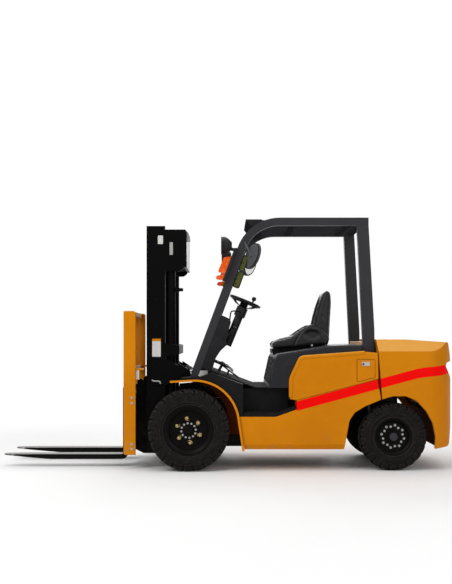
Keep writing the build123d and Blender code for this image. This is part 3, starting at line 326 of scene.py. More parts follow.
def rubber(name, colour):
    """Tyre rubber: mould bloom, fine pits, a film of dust, and ridges and lug edges paler, partly rubbed
    wear and partly a painted highlight.
    """
    f = Finish(name)
    cloud = f.grain(0.05, 5.0, 0.6)
    pits = f.grain(0.0035, 3.0)
    base = cloud.rise(0.35, 0.75).tint(colour, toned(colour, 1.9))
    film = f.grain(0.02, 6.0, 0.7).rise(0.5, 0.8) * 0.12
    base = film.tint(base, DUST)
    # Ridges and lug edges paler: partly rubbed wear, partly a painted highlight.
    ridge_wear_and_highlight = f.start.node("ShaderNodeNewGeometry", out="Pointiness").rise(0.515, 0.57)
    base = (ridge_wear_and_highlight * 0.7).tint(base, RUBBER_WEAR_AND_HIGHLIGHT)
    normal = f.bump(pits + cloud * 0.5, 0.25, 0.002)
    return f.set(Base_Color=base, Roughness=0.75 + cloud * 0.15, Normal=normal, Specular_IOR_Level=0.10)


def moulded(name, colour, rough, grain_size=0.0028, strength=0.3, gloss=0.14):
    """Moulded plastic with a fine leather-like grain, paler in soft clouds, with a painted highlight on its
    edges.
    """
    f = Finish(name)
    rounded, edge = f.soft_edges(0.006)
    cloud = f.grain(0.12, 3.0)
    pebbles = f.cells(grain_size)
    paler = toned(colour, 1.5, 0.004)
    # Edges paler: painted highlight; clouds paler: uneven tone.
    base = (edge * 0.5 | cloud.rise(0.45, 0.8) * 0.5).tint(colour, paler)
    normal = f.bump(pebbles, strength, 0.0008, rounded)
    return f.set(Base_Color=base, Roughness=rough + cloud * 0.12, Normal=normal, Specular_IOR_Level=gloss)


def vinyl():
    """Black seat vinyl: pebbled grain, with a soft sheen on the crowns."""
    f = Finish("seat_vinyl")
    pebbles = f.cells(0.0035)
    creases = f.grain(0.03, 5.0, 0.6)
    base = creases.rise(0.35, 0.75).tint(VINYL_BLACK, VINYL_CREASE)
    normal = f.bump(pebbles + creases * 0.4, 0.2, 0.0008)
    return f.set(Base_Color=base, Roughness=0.34 + creases * 0.12, Normal=normal, Specular_IOR_Level=0.22)


def bare_metal(name, colour, rough, grain_size, stretch=(1, 1, 1)):
    """Machined or plated metal with fine lines and slight tarnish."""
    f = Finish(name)
    scaled = f.start.node("ShaderNodeVectorMath", {"operation": "MULTIPLY"}, {0: f.place, 1: stretch})
    sockets = {"Vector": scaled, "Scale": 1 / grain_size, "Detail": 5.0}
    lines = f.start.node("ShaderNodeTexNoise", None, sockets)
    tarnish = f.grain(0.03, 4.0).rise(0.4, 0.75)
    base = (tarnish * 0.5).tint(colour, toned(colour, 0.6))
    normal = f.bump(lines, 0.1, 0.0006)
    return f.set(Base_Color=base, Roughness=rough + tarnish * 0.12, Metallic=1.0, Normal=normal)


def fork_steel():
    """Black fork paint, rubbed to bare steel along the top and the tip of the blade."""
    f = Finish("fork_paint")
    rounded, edge = f.soft_edges(0.004)
    rub = f.grain(0.05, 7.0, 0.7)
    ahead = f.x.rise(1.55, 1.99)
    worn = (rub + ahead * 0.35 - 0.22 + edge * 0.2).rise(0.55, 0.72) * ahead.rise(0.1, 0.6)
    worn = worn | f.upward(rounded).rise(0.6, 0.95) * (0.45 + rub * 0.6)
    base = worn.tint(MAST_BLACK, BARE_STEEL)
    normal = f.bump(f.grain(0.01, 4.0), 0.15, 0.001, rounded)
    return f.set(Base_Color=base, Roughness=0.42 + rub * 0.1, Metallic=worn * 0.8, Normal=normal,
                 Specular_IOR_Level=0.06)


def lens(name, colour, rib):
    """A ribbed signal lens, with a faint painted glow."""
    f = Finish(name)
    wave = f.start.node("ShaderNodeTexWave", {"bands_direction": "Z"}, {"Vector": f.place, "Scale": 1 / rib})
    cloud = f.grain(0.02, 2.0)
    base = cloud.rise(0.3, 0.7).tint(colour, toned(colour, 1.35, 0.02))
    normal = f.bump(wave, 0.4, 0.002)
    # Painted glow: a faint emission in the lens colour; the lamps are not lit.
    f.set(Emission_Color=toned(colour, 0.25), Emission_Strength=0.2, Specular_IOR_Level=0.08)
    return f.set(Base_Color=base, Roughness=0.24 + cloud * 0.05, Normal=normal)


def mirror_glass():
    f = Finish("mirror_face")
    cloud = f.grain(0.05, 2.0)
    base = cloud.tint(MIRROR_DULL, MIRROR_BRIGHT)
    return f.set(Base_Color=base, Metallic=1.0, Roughness=0.04 + cloud * 0.03)


def plain_label():
    """A bare white plate, slightly yellowed in soft patches."""
    f = Finish("blank_plate")
    cloud = f.grain(0.02, 4.0)
    base = cloud.rise(0.3, 0.8).tint(LABEL_WHITE, LABEL_AGED)
    return f.set(Base_Color=base, Roughness=0.35 + cloud * 0.1)


def liner_sheet():
    """Wheelhouse sheet: dark ahead of the axle, and behind it a dull brown that is painted shade on amber.
    """
    f = Finish("liner_sheet")
    cloud = f.grain(0.15, 4.0)
    behind = (FRONT_X - f.x).rise(0.06, 0.16) * (0.6 + cloud * 0.5)
    base = behind.tint(UNDER_BLACK, SHADE_BROWN)
    return f.set(Base_Color=base, Roughness=0.7 + cloud * 0.2, Specular_IOR_Level=0.02)


def ribbed_mat():
    """Rubber floor and step covering with raised studs."""
    f = Finish("stud_mat")
    spread = f.start.node("ShaderNodeVectorMath", {"operation": "MULTIPLY"}, {0: f.place, 1: (1, 1, 0)})
    sockets = {"Vector": spread, "Scale": 40.0, "Randomness": 0.0}
    studs = f.start.node("ShaderNodeTexVoronoi", None, sockets)
    raised = 1 - studs.rise(0.24, 0.32)
    cloud = f.grain(0.08, 5.0)
    worn = cloud.rise(0.4, 0.8) * 0.6 + raised * 0.2
    base = worn.tint(MAT_BLACK, MAT_WORN)
    normal = f.bump(raised, 0.6, 0.003)
    return f.set(Base_Color=base, Roughness=0.6 + cloud * 0.2, Normal=normal, Specular_IOR_Level=0.01)


def make_finishes():
    return {
        "amber": body_amber(),
        "fender": fender_amber(),
        "mast": painted("mast_black", MAST_BLACK, 0.30, EDGE_WEAR_AND_HIGHLIGHT_GREY, 0.4, 0.02, 0.2),
        "guard": painted("guard_grey", GUARD_GREY, 0.42, GUARD_EDGE_WEAR_AND_HIGHLIGHT, 0.3, 0.15, 0.1),
        "under": painted("underbody_black", UNDER_BLACK, 0.5, EDGE_WEAR_AND_HIGHLIGHT_GREY, 0.25, 0.06, 0.25),
        "rim": painted("rim_black", RIM_BLACK, 0.34, EDGE_WEAR_AND_HIGHLIGHT_GREY, 0.35, 0.05, 0.08),
        "engine": painted("engine_grey", ENGINE_GREY, 0.5, BARE_STEEL, 0.3, 0.3),
        "roof": painted("roof_grey", GUARD_GREY, 0.6, GUARD_EDGE_WEAR_AND_HIGHLIGHT, 0.3, 0.0, 0.1),
        "hood": moulded("hood_plastic", HOOD_GREY, 0.40),
        "cowl": moulded("cowl_plastic", COWL_BLACK, 0.5, gloss=0.06),
        "plastic": moulded("dash_plastic", DASH_BLACK, 0.46),
        "knob": moulded("knob_plastic", KNOB_BLACK, 0.28, 0.004, 0.05),
        "grey": moulded("pale_grey", PALE_GREY, 0.5),
        "shell": moulded("mirror_shell", SHELL_GREY, 0.42),
        "mat": ribbed_mat(),
        "tyre": rubber("tyre_rubber", RUBBER_BLACK),
        "vinyl": vinyl(),
        "fork": fork_steel(),
        "chrome": bare_metal("rod_chrome", CHROME, 0.10, 0.01, (1, 1, 0.05)),
        "chain": bare_metal("chain_oiled", CHAIN_STEEL, 0.36, 0.01),
        "brass": bare_metal("nut_brass", BRASS, 0.30, 0.01),
        "zinc": bare_metal("bolt_zinc", ZINC, 0.28, 0.01),
        "core": bare_metal("radiator_core", CORE_GREY, 0.5, 0.006, (0.1, 1, 0.1)),
        "amber_lens": lens("amber_lens", LENS_AMBER, 0.05),
        "red_lens": lens("red_lens", LENS_RED, 0.05),
        "clear_lens": lens("clear_lens", LENS_CLEAR, 0.06),
        "olive": lens("olive_pane", OLIVE, 0.03),
        "mirror": mirror_glass(),
        "label": plain_label(),
        "liner": liner_sheet(),
    }


finishes = make_finishes()

NODE_FINISH = {
    "amber": ["side_tanks", "side_covers", "fuel_door", "counterweight", "radiator_cover", "load_backrest"],
    "fender": ["fenders"],
    "mast": ["outer_mast", "inner_mast", "carriage", "lift_barrels", "tilt_barrels"],
    "guard": ["guard_side_tubes", "guard_rear_pillars"],
    "roof": ["guard_roof", "guard_slats"],
    "under": ["frame", "drive_axle", "steer_axle", "knuckle_left", "knuckle_right", "seat_base",
              "rear_grille"],
    "rim": ["front_rim_left", "front_rim_right", "rear_rim_left", "rear_rim_right"],
    "engine": ["powertrain"],
    "hood": ["hood"],
    "cowl": ["cowls"],
    "plastic": ["dash", "steering_column", "lamp_brackets", "head_lamps"],
    "shell": ["mirrors"],
    "knob": ["steering_wheel", "controls"],
    "mat": ["floor_plate", "step_plates"],
    "tyre": ["front_tyre_left", "front_tyre_right", "rear_tyre_left", "rear_tyre_right"],
    "vinyl": ["seat_cushion", "seat_sides", "seat_back"],
    "fork": ["fork_left", "fork_right"],
    "chrome": ["lift_rods", "tilt_rods"],
    "chain": ["chain_sheaves", "chain_front", "chain_rear"],
    "core": ["radiator"],
    "amber_lens": ["turn_lamps"],
    "red_lens": ["rear_lamps"],
}


def dress(node, finish):
    mesh = nodes[node].data
    mesh.materials.clear()
    mesh.materials.append(finishes[finish])


for finish_name, members in NODE_FINISH.items():
    for member in members:
        dress(member, finish_name)


def add_object(name, bm, finish):
    """Turns a bmesh into an object of the scene."""
    mesh = bpy.data.meshes.new(name)
    bmesh.ops.recalc_face_normals(bm, faces=bm.faces)
    bm.to_mesh(mesh)
    bm.free()
    mesh.materials.append(finishes[finish])
    obj = bpy.data.objects.new(name, mesh)
    bpy.context.scene.collection.objects.link(obj)
    return obj


def new_piece(name, bm, finish, body, slot, smooth=True):
    """A mesh piece in the row frame that rides on a body."""
    obj = add_object(name, bm, finish)
    if smooth:
        obj.data.shade_smooth()
        obj.data.set_sharp_from_angle(angle=math.radians(32))
    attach(obj, body)
    return obj


def make_camera():
    data = bpy.data.cameras.new("camera")
    camera = bpy.data.objects.new("camera", data)
    bpy.context.scene.collection.objects.link(camera)
    camera.location = CAMERA_PLACE
    camera.rotation_euler = (math.radians(90), 0, math.radians(180))
    data.sensor_width = SENSOR
    data.lens = FOCAL_PX / IMAGE_H * SENSOR
    data.shift_y = (HORIZON_PX - IMAGE_H / 2) / IMAGE_H
    data.clip_end = 200
    bpy.context.scene.camera = camera


def area_lamp(name, place, target, size, power):
    data = bpy.data.lights.new(name, "AREA")
    data.energy = power
    data.size = size
    lamp = bpy.data.objects.new(name, data)
    bpy.context.scene.collection.objects.link(lamp)
    lamp.location = place
    lamp.rotation_euler = (Vector(target) - Vector(place)).to_track_quat("-Z", "Y").to_euler()


RAYS = ("Is Camera Ray", "Is Glossy Ray", "Is Transmission Ray")
LAMPS = (
    ("key", (4.4, 5.0, 5.5), (0, 0, 0.9), 4.0, 270),
    ("fill", (-4.0, 6.0, 3.5), (-0.5, 0, 0.8), 4.0, 105),
    ("back", (-1.0, -7.0, 4.5), (0, 0, 0.9), 5.0, 240),
    ("top", (0.0, 0.5, 7.0), (0, 0, 0), 6.0, 230),
)


def seen_rays(start):
    """1 for the rays that reach the eye, straight on or by a shiny or clear surface."""
    path = start.node("ShaderNodeLightPath").socket.node
    straight, shiny, through = (Wire(start.tree, path.outputs[name]) for name in RAYS)
    return straight | shiny | through


def make_world():
    """Dim white light, with plain white where it is seen."""
    bpy.context.scene.view_settings.view_transform = "Standard"
    world = bpy.data.worlds.new("studio")
    world.use_nodes = True
    bpy.context.scene.world = world
    tree = world.node_tree
    start = Wire(tree)
    plain = tree.nodes["Background"]
    plain.inputs["Color"].default_value = WHITE
    plain.inputs["Strength"].default_value = 0.38
    white = start.node("ShaderNodeBackground", None, {"Color": WHITE, "Strength": 1.0})
    sockets = {0: seen_rays(start), 1: Wire(tree, plain.outputs[0]), 2: white}
    blend = start.node("ShaderNodeMixShader", None, sockets)
    tree.links.new(blend.socket, tree.nodes["World Output"].inputs["Surface"])


def make_floor():
    """A pale floor that fades into the white around it."""
    f = Finish("floor_pale")
    far = (f.x * f.x + f.y * f.y) ** 0.5
    base = f.grain(1.5, 3.0).tint(FLOOR_DULL, FLOOR_PALE)
    f.set(Base_Color=base, Roughness=0.8)
    glow = f.start.node("ShaderNodeEmission", None, {"Color": WHITE, "Strength": 1.0})
    fade = far.rise(2.2, 4.6) * seen_rays(f.start)
    sockets = {0: fade, 1: Wire(f.tree, f.shader.outputs[0]), 2: glow}
    mixed = f.start.node("ShaderNodeMixShader", None, sockets)
    f.tree.links.new(mixed.socket, f.tree.nodes["Material Output"].inputs["Surface"])
    finishes["floor"] = f.material
    bm = bmesh.new()
    bmesh.ops.create_grid(bm, x_segments=1, y_segments=1, size=60)
    floor = add_object("floor", bm, "floor")
    floor.location.z = -0.0005


def at(xa, y, z):
    """A point given in mm: ahead of the front axle, left of the middle, above the ground."""
    return Vector((FRONT_X + xa / 1000, y / 1000, z / 1000))


def filleted(corners, steps):
    """An outline's points, with arcs at the corners that carry a radius."""
    points = []
    for i, corner in enumerate(corners):
        here = Vector(corner[:2])
        if len(corner) == 2:
            points.append(here)
            continue
        before = (Vector(corners[i - 1][:2]) - here).normalized()
        after = (Vector(corners[(i + 1) % len(corners)][:2]) - here).normalized()
        half = before.angle(after) / 2
        reach = corner[2] / math.tan(half)
        middle = here + (before + after).normalized() * corner[2] / math.sin(half)
        start = here + before * reach - middle
        turn = start.angle_signed(here + after * reach - middle)
        for k in range(steps + 1):
            points.append(middle + Matrix.Rotation(-turn * k / steps, 2) @ start)
    return points


def resampled(points, gap):
    """Points along a line of runs, no further apart than a gap."""
    line = []
    for a, b in zip(points, points[1:]):
        count = max(1, math.ceil((b - a).length / gap))
        line += [a.lerp(b, k / count) for k in range(count)]
    return line + [points[-1]]


def step_up(value, low, high):
    """0 below low and 1 above high, smooth between."""
    part = min(max((value - low) / (high - low), 0), 1)
    return part * part * (3 - 2 * part)


def stitch_rings(bm, rings):
    """Faces between each ring of vertices and the next."""
    for a, b in zip(rings, rings[1:]):
        for k in range(len(a)):
            bm.faces.new((a[k], a[k - 1], b[k - 1], b[k]))


def tube(bm, lines):
    """A skin over rings of points, closed at both ends."""
    rings = [[bm.verts.new(point) for point in line] for line in lines]
    stitch_rings(bm, rings)
    bm.faces.new(rings[0])
    bm.faces.new(rings[-1])


def oval(centre, first, second, steps):
    """Points round an ellipse, from its two half axes."""
    points = []
    for k in range(steps):
        angle = math.tau * k / steps
        points.append(centre + first * math.cos(angle) + second * math.sin(angle))
    return points


def prism(bm, outline, spot, low, high):
    """An outline drawn between two depths; spot turns (u, v, depth) into a place."""
    tube(bm, [[spot(u, v, w) for u, v in outline] for w in (low, high)])


def side_plate(bm, corners, low, high, steps=4):
    """A plate drawn in the side view, in mm, between two distances from the middle plane."""
    prism(bm, filleted(corners, steps), lambda u, v, w: at(u, w, v), low, high)


def lathe(bm, profile, centre, axis, steps):
    """A profile of (radius, distance along the axis), turned about the axis."""
    lean = Vector((0, 0, 1)).rotation_difference(Vector(axis)).to_matrix()
    first, second, along = (lean.col[k] for k in range(3))
    rings = []
    for radius, out in profile:
        line = oval(centre + along * out, first * radius, second * radius, steps)
        rings.append([bm.verts.new(point) for point in line])
    stitch_rings(bm, rings)
    bmesh.ops.remove_doubles(bm, verts=[v for ring in rings for v in ring], dist=1e-6)


def hex_head(bm, centre, axis, radius, height):
    """A hexagon head with its washer and a turned end."""
    washer = height * 0.18
    lathe(bm, [(0, 0), (radius * 1.22, 0), (radius * 1.22, washer), (0, washer)], centre, axis, 24)
    top = height * 0.82
    lathe(bm, [(radius, washer), (radius, top), (radius * 0.84, height), (0, height)], centre, axis, 6)


def stud_nut(bm, centre, axis, radius, height):
    """A hexagon nut with the end of its stud."""
    hex_head(bm, centre, axis, radius, height)
    stud = radius * 0.48
    tip = height * 1.28
    lathe(bm, [(stud, height), (stud, tip), (stud * 0.8, tip + 0.0012), (0, tip + 0.0012)], centre, axis, 16)


def sweep(bm, points, radius, steps):
    """A round bar along a line of points, closed at both ends."""
    lines = []
    side = Vector((0, 1, 0))
    for i, point in enumerate(points):
        ahead = points[min(i + 1, len(points) - 1)] - points[max(i - 1, 0)]
        ahead.normalize()
        side = (side - ahead * side.dot(ahead)).normalized()
        up = ahead.cross(side)
        lines.append(oval(point, side * radius, up * radius, steps))
    tube(bm, lines)


def bar(bm, low, high, rounding):
    """A rounded block between two opposite corners."""
    corners = bmesh.ops.create_cube(bm, size=1)["verts"]
    middle = (low + high) / 2
    size = high - low
    for v in corners:
        v.co = middle + Vector((v.co.x * size.x, v.co.y * size.y, v.co.z * size.z))
    edges = list({e for v in corners for e in v.link_edges})
    bmesh.ops.bevel(bm, geom=edges, offset=rounding, segments=2, profile=0.5, affect="EDGES")


def flip_side(bm):
    """Adds the mirror image, on the other side of the middle plane."""
    copy = bmesh.ops.duplicate(bm, geom=bm.verts[:] + bm.edges[:] + bm.faces[:])["geom"]
    for v in copy:
        if isinstance(v, bmesh.types.BMVert):
            v.co.y = -v.co.y


LUGS = 22
LUG_STEPS = 18
LUG_SLANT = math.radians(20)
LUG_PITCH = math.tau / LUGS
GROOVE_DEEP = 0.021
GROOVE_IN = 0.010
# Raised rings on the sidewall: share of the tyre's radius, height, half width of the top and of the foot
WALL_RINGS = ((0.855, 0.004, 0.002, 0.006), (0.695, 0.005, 0.003, 0.008))


def moulded_tread(angle, y, r, half, radius):
    """Moves a point of the tyre's plain profile to the moulded surface."""
    face = 1 if y > 0 else -1
    shift = LUG_PITCH / 2 if face > 0 else 0
    near = (angle - shift + LUG_PITCH / 2) % LUG_PITCH - LUG_PITCH / 2
    slant = LUG_SLANT * face
    across = radius * near * math.cos(slant) + (y - face * half * 0.84) * math.sin(slant)
    groove = 1 - step_up(abs(across), 0.0105, 0.0150)
    groove *= step_up(abs(y), half * 0.40, half * 0.48)
    deep = max(0.0, r - (radius - GROOVE_DEEP)) * groove
    inward = GROOVE_IN * groove * step_up(r, radius - 0.060, radius - 0.044)
    wall = step_up(abs(y), half - 0.02, half - 0.006)
    proud = 0.0
    for share, height, top, foot in WALL_RINGS:
        proud += height * (1 - step_up(abs(r - radius * share), top, foot))
    return y + face * (proud * wall - inward), r - deep


def tyre(name, node, body, half, bead, radius, lip, shoulder):
    """An industrial tyre: lugs cut into both shoulders, with raised rings on the sidewalls."""
    low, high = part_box(node)
    middle = (low + high) / 2
    profile = filleted([
        (-half + lip, bead), (-half, bead + 0.040, 0.028), (-half + 0.006, radius - 0.012, 0.022),
        (-half + shoulder, radius, 0.1), (half - shoulder, radius, 0.1),
        (half - 0.006, radius - 0.012, 0.022),
        (half, bead + 0.040, 0.028), (half - lip, bead)], 5)
    line = resampled(profile + [profile[0]], 0.007)[:-1]
    bm = bmesh.new()
    rings = []
    steps = LUGS * LUG_STEPS
    for k in range(steps):
        angle = math.tau * k / steps
        ring = []
        for flat_y, flat_r in line:
            y, r = moulded_tread(angle, flat_y, flat_r, half, radius)
            spot = Vector((math.sin(angle) * r, y, math.cos(angle) * r))
            ring.append(bm.verts.new(middle + spot))
        rings.append(ring)
    stitch_rings(bm, rings + [rings[0]])
    obj = new_piece(name, bm, "tyre", body, "tyre")
    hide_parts(node)


# Rings of fasteners: head, count, circle, first angle, depth, radius and height
FRONT_NUTS = (stud_nut, 6, 0.107, 25, 0.052, 0.0187, 0.024)
HUB_BOLTS = (hex_head, 12, 0.063, -7, 0.074, 0.0076, 0.009)
REAR_STUDS = (stud_nut, 8, 0.099, 11, 0.040, 0.0092, 0.012)
REAR_BOLTS = (hex_head, 8, 0.0865, 33, 0.040, 0.0084, 0.010)
# Turned profiles, with the steps of the turn
HUB_CAP = ([(0.030, 0.1), (0.034, 0.102), (0.029, 0.1065), (0.012, 0.108), (0, 0.108)], 40)
HUB_FLANGE = ([(0.1375, 0.052), (0.1375, 0.056), (0.130, 0.0585), (0.119, 0.057)], 64)
REAR_CAP = ([(0.033, 0.084), (0.036, 0.086), (0.031, 0.0905), (0, 0.092)], 40)


def bolt_ring(bm, centre, sign, head, count, circle, first, depth, radius, height):
    """A ring of fasteners on a wheel's outer face."""
    for k in range(count):
        angle = math.radians(360 / count * k + first)
        spot = Vector((circle * math.cos(angle), sign * depth, circle * math.sin(angle)))
        head(bm, centre + spot, (0, sign, 0), radius, height)


def wheel_fittings(side, sign):
    """Nuts, hub bolts and caps of the front and rear wheel on one side."""
    centres = {
        "front": Vector((FRONT_X, sign * FRONT_Y, FRONT_R)),
        "rear": Vector((REAR_X, sign * REAR_Y, REAR_R)),
    }
    for end, name, rings, finish, slot in (
            ("front", "wheel_nuts", [FRONT_NUTS], "brass", "engine_iron"),
            ("front", "hub_bolts", [HUB_BOLTS], "zinc", "chrome_rod"),
            ("rear", "wheel_nuts", [REAR_STUDS, REAR_BOLTS], "zinc", "chrome_rod")):
        bm = bmesh.new()
        for ring in rings:
            bolt_ring(bm, centres[end], sign, *ring)
        new_piece(f"{end}_{name}_{side}", bm, finish, f"{end}_wheel_{side}", slot)
    for end, caps, finish in (("front", [HUB_CAP, HUB_FLANGE], "rim"), ("rear", [REAR_CAP], "guard")):
        bm = bmesh.new()
        for profile, steps in caps:
            lathe(bm, profile, centres[end], (0, sign, 0), steps)
        new_piece(f"{end}_hub_cap_{side}", bm, finish, f"{end}_wheel_{side}", "rim_black")


def make_wheels():
    for side, sign in (("left", 1), ("right", -1)):
        tyre(f"tread_front_{side}", f"front_tyre_{side}", f"front_wheel_{side}",
             FRONT_W / 2, 0.222, FRONT_R, 0.012, 0.046)
        tyre(f"tread_rear_{side}", f"rear_tyre_{side}", f"rear_wheel_{side}",
             REAR_W / 2, 0.168, REAR_R, 0.010, 0.036)
        wheel_fittings(side, sign)


CLOTH_FRAMES = 20


def inflate(obj, pressure, cap, hold):
    """Swells a pad by cloth simulation; hold gives how freely each point may move."""
    scene = bpy.context.scene
    rest = [v.co.copy() for v in obj.data.vertices]
    cloth = obj.modifiers.new("swell", "CLOTH")
    settings = cloth.settings
    settings.quality = 5
    settings.mass = 0.25
    settings.tension_stiffness = 18
    settings.compression_stiffness = 18
    settings.bending_stiffness = 0.8
    settings.use_pressure = True
    settings.uniform_pressure_force = pressure
    settings.effector_weights.gravity = 0
    cloth.collision_settings.use_collision = False
    cloth.point_cache.frame_start = 1
    cloth.point_cache.frame_end = CLOTH_FRAMES
    for frame_number in range(1, CLOTH_FRAMES + 1):
        scene.frame_set(frame_number)
    shaped = obj.evaluated_get(bpy.context.evaluated_depsgraph_get())
    moved = [v.co.copy() for v in shaped.data.vertices]
    obj.modifiers.remove(cloth)
    scene.frame_set(1)
    for v, old, new in zip(obj.data.vertices, rest, moved):
        shift = new - old
        if shift.length > cap:
            shift *= cap / shift.length
        v.co = old + shift * hold(old)


def drawn_in(outline, amount):
    """An outline with its points moved inwards."""
    count = len(outline)
    area = sum(outline[i - 1].cross(outline[i]) for i in range(count))
    turn = 1 if area > 0 else -1
    points = []
    for i, point in enumerate(outline):
        ahead = (outline[(i + 1) % count] - outline[i - 1]).normalized()
        points.append(point + Vector((-ahead.y, ahead.x)) * turn * amount)
    return points


def pillow(bm, outline, low, high, rounding):
    """An outline drawn across the truck, with both ends rounded over."""
    ends = [math.radians(18 * k) for k in range(6)]
    levels = [(low + rounding * (1 - math.sin(a)), rounding * (1 - math.cos(a))) for a in reversed(ends)]
    levels += [(high - rounding * (1 - math.sin(a)), rounding * (1 - math.cos(a))) for a in ends]
    tube(bm, [[at(u, y, v) for u, v in drawn_in(outline, inset)] for y, inset in levels])


def soften(obj, rounds):
    """Evens out a pad's surface."""
    smooth = obj.modifiers.new("soften", "SMOOTH")
    smooth.iterations = rounds
    smooth.factor = 0.5
    bpy.context.view_layer.objects.active = obj
    bpy.ops.object.modifier_apply(modifier=smooth.name)


def pad(name, corners, low, high, rounding, replaced, seams, hold, voxel=0.006, cap=0.010):
    """A stuffed vinyl pad: an outline across the truck, swelled, with its sewn seams pulled in."""
    bm = bmesh.new()
    outline = resampled(filleted(corners, 5), 12)
    pillow(bm, outline, low, high, rounding)
    obj = add_object(name, bm, "vinyl")
    bpy.context.view_layer.objects.active = obj
    obj.select_set(True)
    obj.data.remesh_voxel_size = voxel
    bpy.ops.object.voxel_remesh()
    obj.select_set(False)
    soften(obj, 8)
    inflate(obj, 4.0, cap, hold)
    soften(obj, 10)
    mesh = obj.data
    pulled = [(v, seams(v.co, v.normal), v.normal.copy()) for v in mesh.vertices]
    for v, depth, normal in pulled:
        v.co -= normal * depth
    mesh.materials.clear()
    mesh.materials.append(finishes["vinyl"])
    mesh.shade_smooth()
    finer = obj.modifiers.new("finer", "SUBSURF")
    finer.levels = 1
    finer.render_levels = 1
    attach(obj, "hood")
    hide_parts(replaced)


def sewn(distance, depth=0.006, width=0.008):
    return depth * math.exp(-(distance / width) ** 2)


def line_distance(spot, line):
    """How far a point lies from a line of runs."""
    gaps = []
    for a, b in zip(line, line[1:]):
        start = Vector(a)
        run = Vector(b) - start
        part = min(max((spot - start).dot(run) / run.length_squared, 0), 1)
        gaps.append((spot - start - run * part).length)
    return min(gaps)


def cushion_seams(spot, normal):
    """Two lengthwise seams and three cross channels on the cushion's top."""
    if normal.z < 0.3:
        return 0.0
    depth = sewn(abs(spot.y) - 0.128)
    if abs(spot.y) < 0.128:
        across = [sewn(spot.x - at(xa, 0, 0).x, 0.005) for xa in (-830, -960, -1080)]
        depth = max([depth] + across)
    return depth


def back_seams(spot, normal):
    """A hollow between the backrest's bolsters, with sewn channels across it."""
    if normal.x < 0.25:
        return 0.0
    hollow = 0.030 * (1 - step_up(abs(spot.y), 0.095, 0.140)) * (1 - step_up(spot.z, 1.46, 1.56))
    depth = sewn(abs(spot.y) - 0.118, 0.004)
    if abs(spot.y) < 0.118:
        depth = max([depth] + [sewn(spot.z - z, 0.005) for z in (1.275, 1.365, 1.455)])
    return (hollow + depth) * step_up(normal.x, 0.25, 0.6)


WING_CREASES = [
    [(-1062, 1262), (-1036, 1243), (-998, 1196), (-962, 1140), (-932, 1074)],
    [(-1096, 1250), (-1140, 1241), (-1190, 1203), (-1230, 1156)],
]
WING_HOLLOW = Vector((-1100, 1180))


def wing_seams(spot, normal):
    """Two creases and a hollow on the outside of the side rest."""
    outward = normal.y * (1 if spot.y > 0 else -1)
    if outward < 0.3:
        return 0.0
    place = Vector(((spot.x - FRONT_X) * 1000, spot.z * 1000))
    depth = max(sewn(line_distance(place, line) / 1000, 0.007, 0.009) for line in WING_CREASES)
    off = place - WING_HOLLOW
    hollow = 1 - math.hypot(off.x / 92, off.y / 58)
    depth = max(depth, 0.014 * step_up(hollow, 0.0, 0.6))
    return depth * step_up(outward, 0.3, 0.7)


def make_seat():
    def on_base(spot):
        return step_up(spot.z, 1.055, 1.10)

    cushion = [(-742, 1056, 14), (-740, 1102, 24), (-806, 1132), (-1000, 1176), (-1108, 1184),
               (-1186, 1152, 12), (-1186, 1094, 10)]
    pad("cushion_pad", cushion, -190, 190, 16, "seat_cushion", cushion_seams, on_base)
    back = [(-1122, 1170, 20), (-1130, 1276, 60), (-1144, 1345), (-1166, 1425), (-1196, 1512),
            (-1216, 1562, 30), (-1238, 1588, 14), (-1268, 1574, 18), (-1272, 1470, 60), (-1254, 1122, 24),
            (-1192, 1112, 8), (-1192, 1152)]
    pad("back_pad", back, -196, 196, 30, "seat_back", back_seams, lambda spot: 1.0)
    wing = [(-746, 1054, 14), (-735, 1092, 16), (-764, 1121, 18), (-822, 1138), (-895, 1158), (-941, 1190),
            (-996, 1229), (-1042, 1256), (-1086, 1277, 20), (-1126, 1273, 30), (-1184, 1239), (-1246, 1177),
            (-1262, 1150, 14), (-1246, 1086, 14), (-941, 1062), (-800, 1053)]
    for side, low, high in (("left", 196, 250), ("right", -250, -196)):
        pad(f"wing_pad_{side}", wing, low, high, 14, "seat_sides", wing_seams,
            lambda spot: 1.0, 0.005, 0.006)
    bm = bmesh.new()
    hex_head(bm, at(-1097, 246, 1086), (0, 1, 0), 0.009, 0.012)
    flip_side(bm)
    new_piece("seat_bolts", bm, "zinc", "hood", "chrome_rod")


CHAIN_PITCH = 0.0254
CHAIN_PLATE = 0.0119
CHAIN_Y = 0.115
SHEAVE_X = FRONT_X + 0.250
SHEAVE_Z = 2.060
CHAIN_ROUND = 0.0623
CHAIN_LOW = 0.4003
CHAIN_ANCHOR = 1.815


def leaf_link(bm, first, second, plates):
    """Waisted link plates between two pins, and the pin that the first one holds."""
    run = second - first
    length = run.length
    ahead = run.normalized()
    side = Vector((0, 1, 0))
    up = side.cross(ahead)
    end = CHAIN_PLATE / 2
    outline = []
    for k in range(7):
        angle = math.pi / 2 - math.pi * k / 6
        outline.append((length + end * math.cos(angle), end * math.sin(angle)))
    outline.append((length / 2, -end * 0.68))
    for k in range(7):
        angle = -math.pi / 2 - math.pi * k / 6
        outline.append((end * math.cos(angle), end * math.sin(angle)))
    outline.append((length / 2, end * 0.68))
    for place in plates:
        prism(bm, outline, lambda u, v, w: first + ahead * u + up * v + side * w,
              place - 0.0021, place + 0.0021)
    lathe(bm, [(0, -0.0135), (0.0036, -0.0135), (0.0036, 0.0135), (0, 0.0135)], first, (0, 1, 0), 10)


def leaf_chain(name, pins, replaced):
    bm = bmesh.new()
    for k, (first, second) in enumerate(zip(pins, pins[1:])):
        leaf_link(bm, first, second, (-0.0105, 0, 0.0105) if k % 2 else (-0.00525, 0.00525))
    flip_side(bm)
    obj = add_object(name, bm, "chain")
    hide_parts(replaced)
    return obj


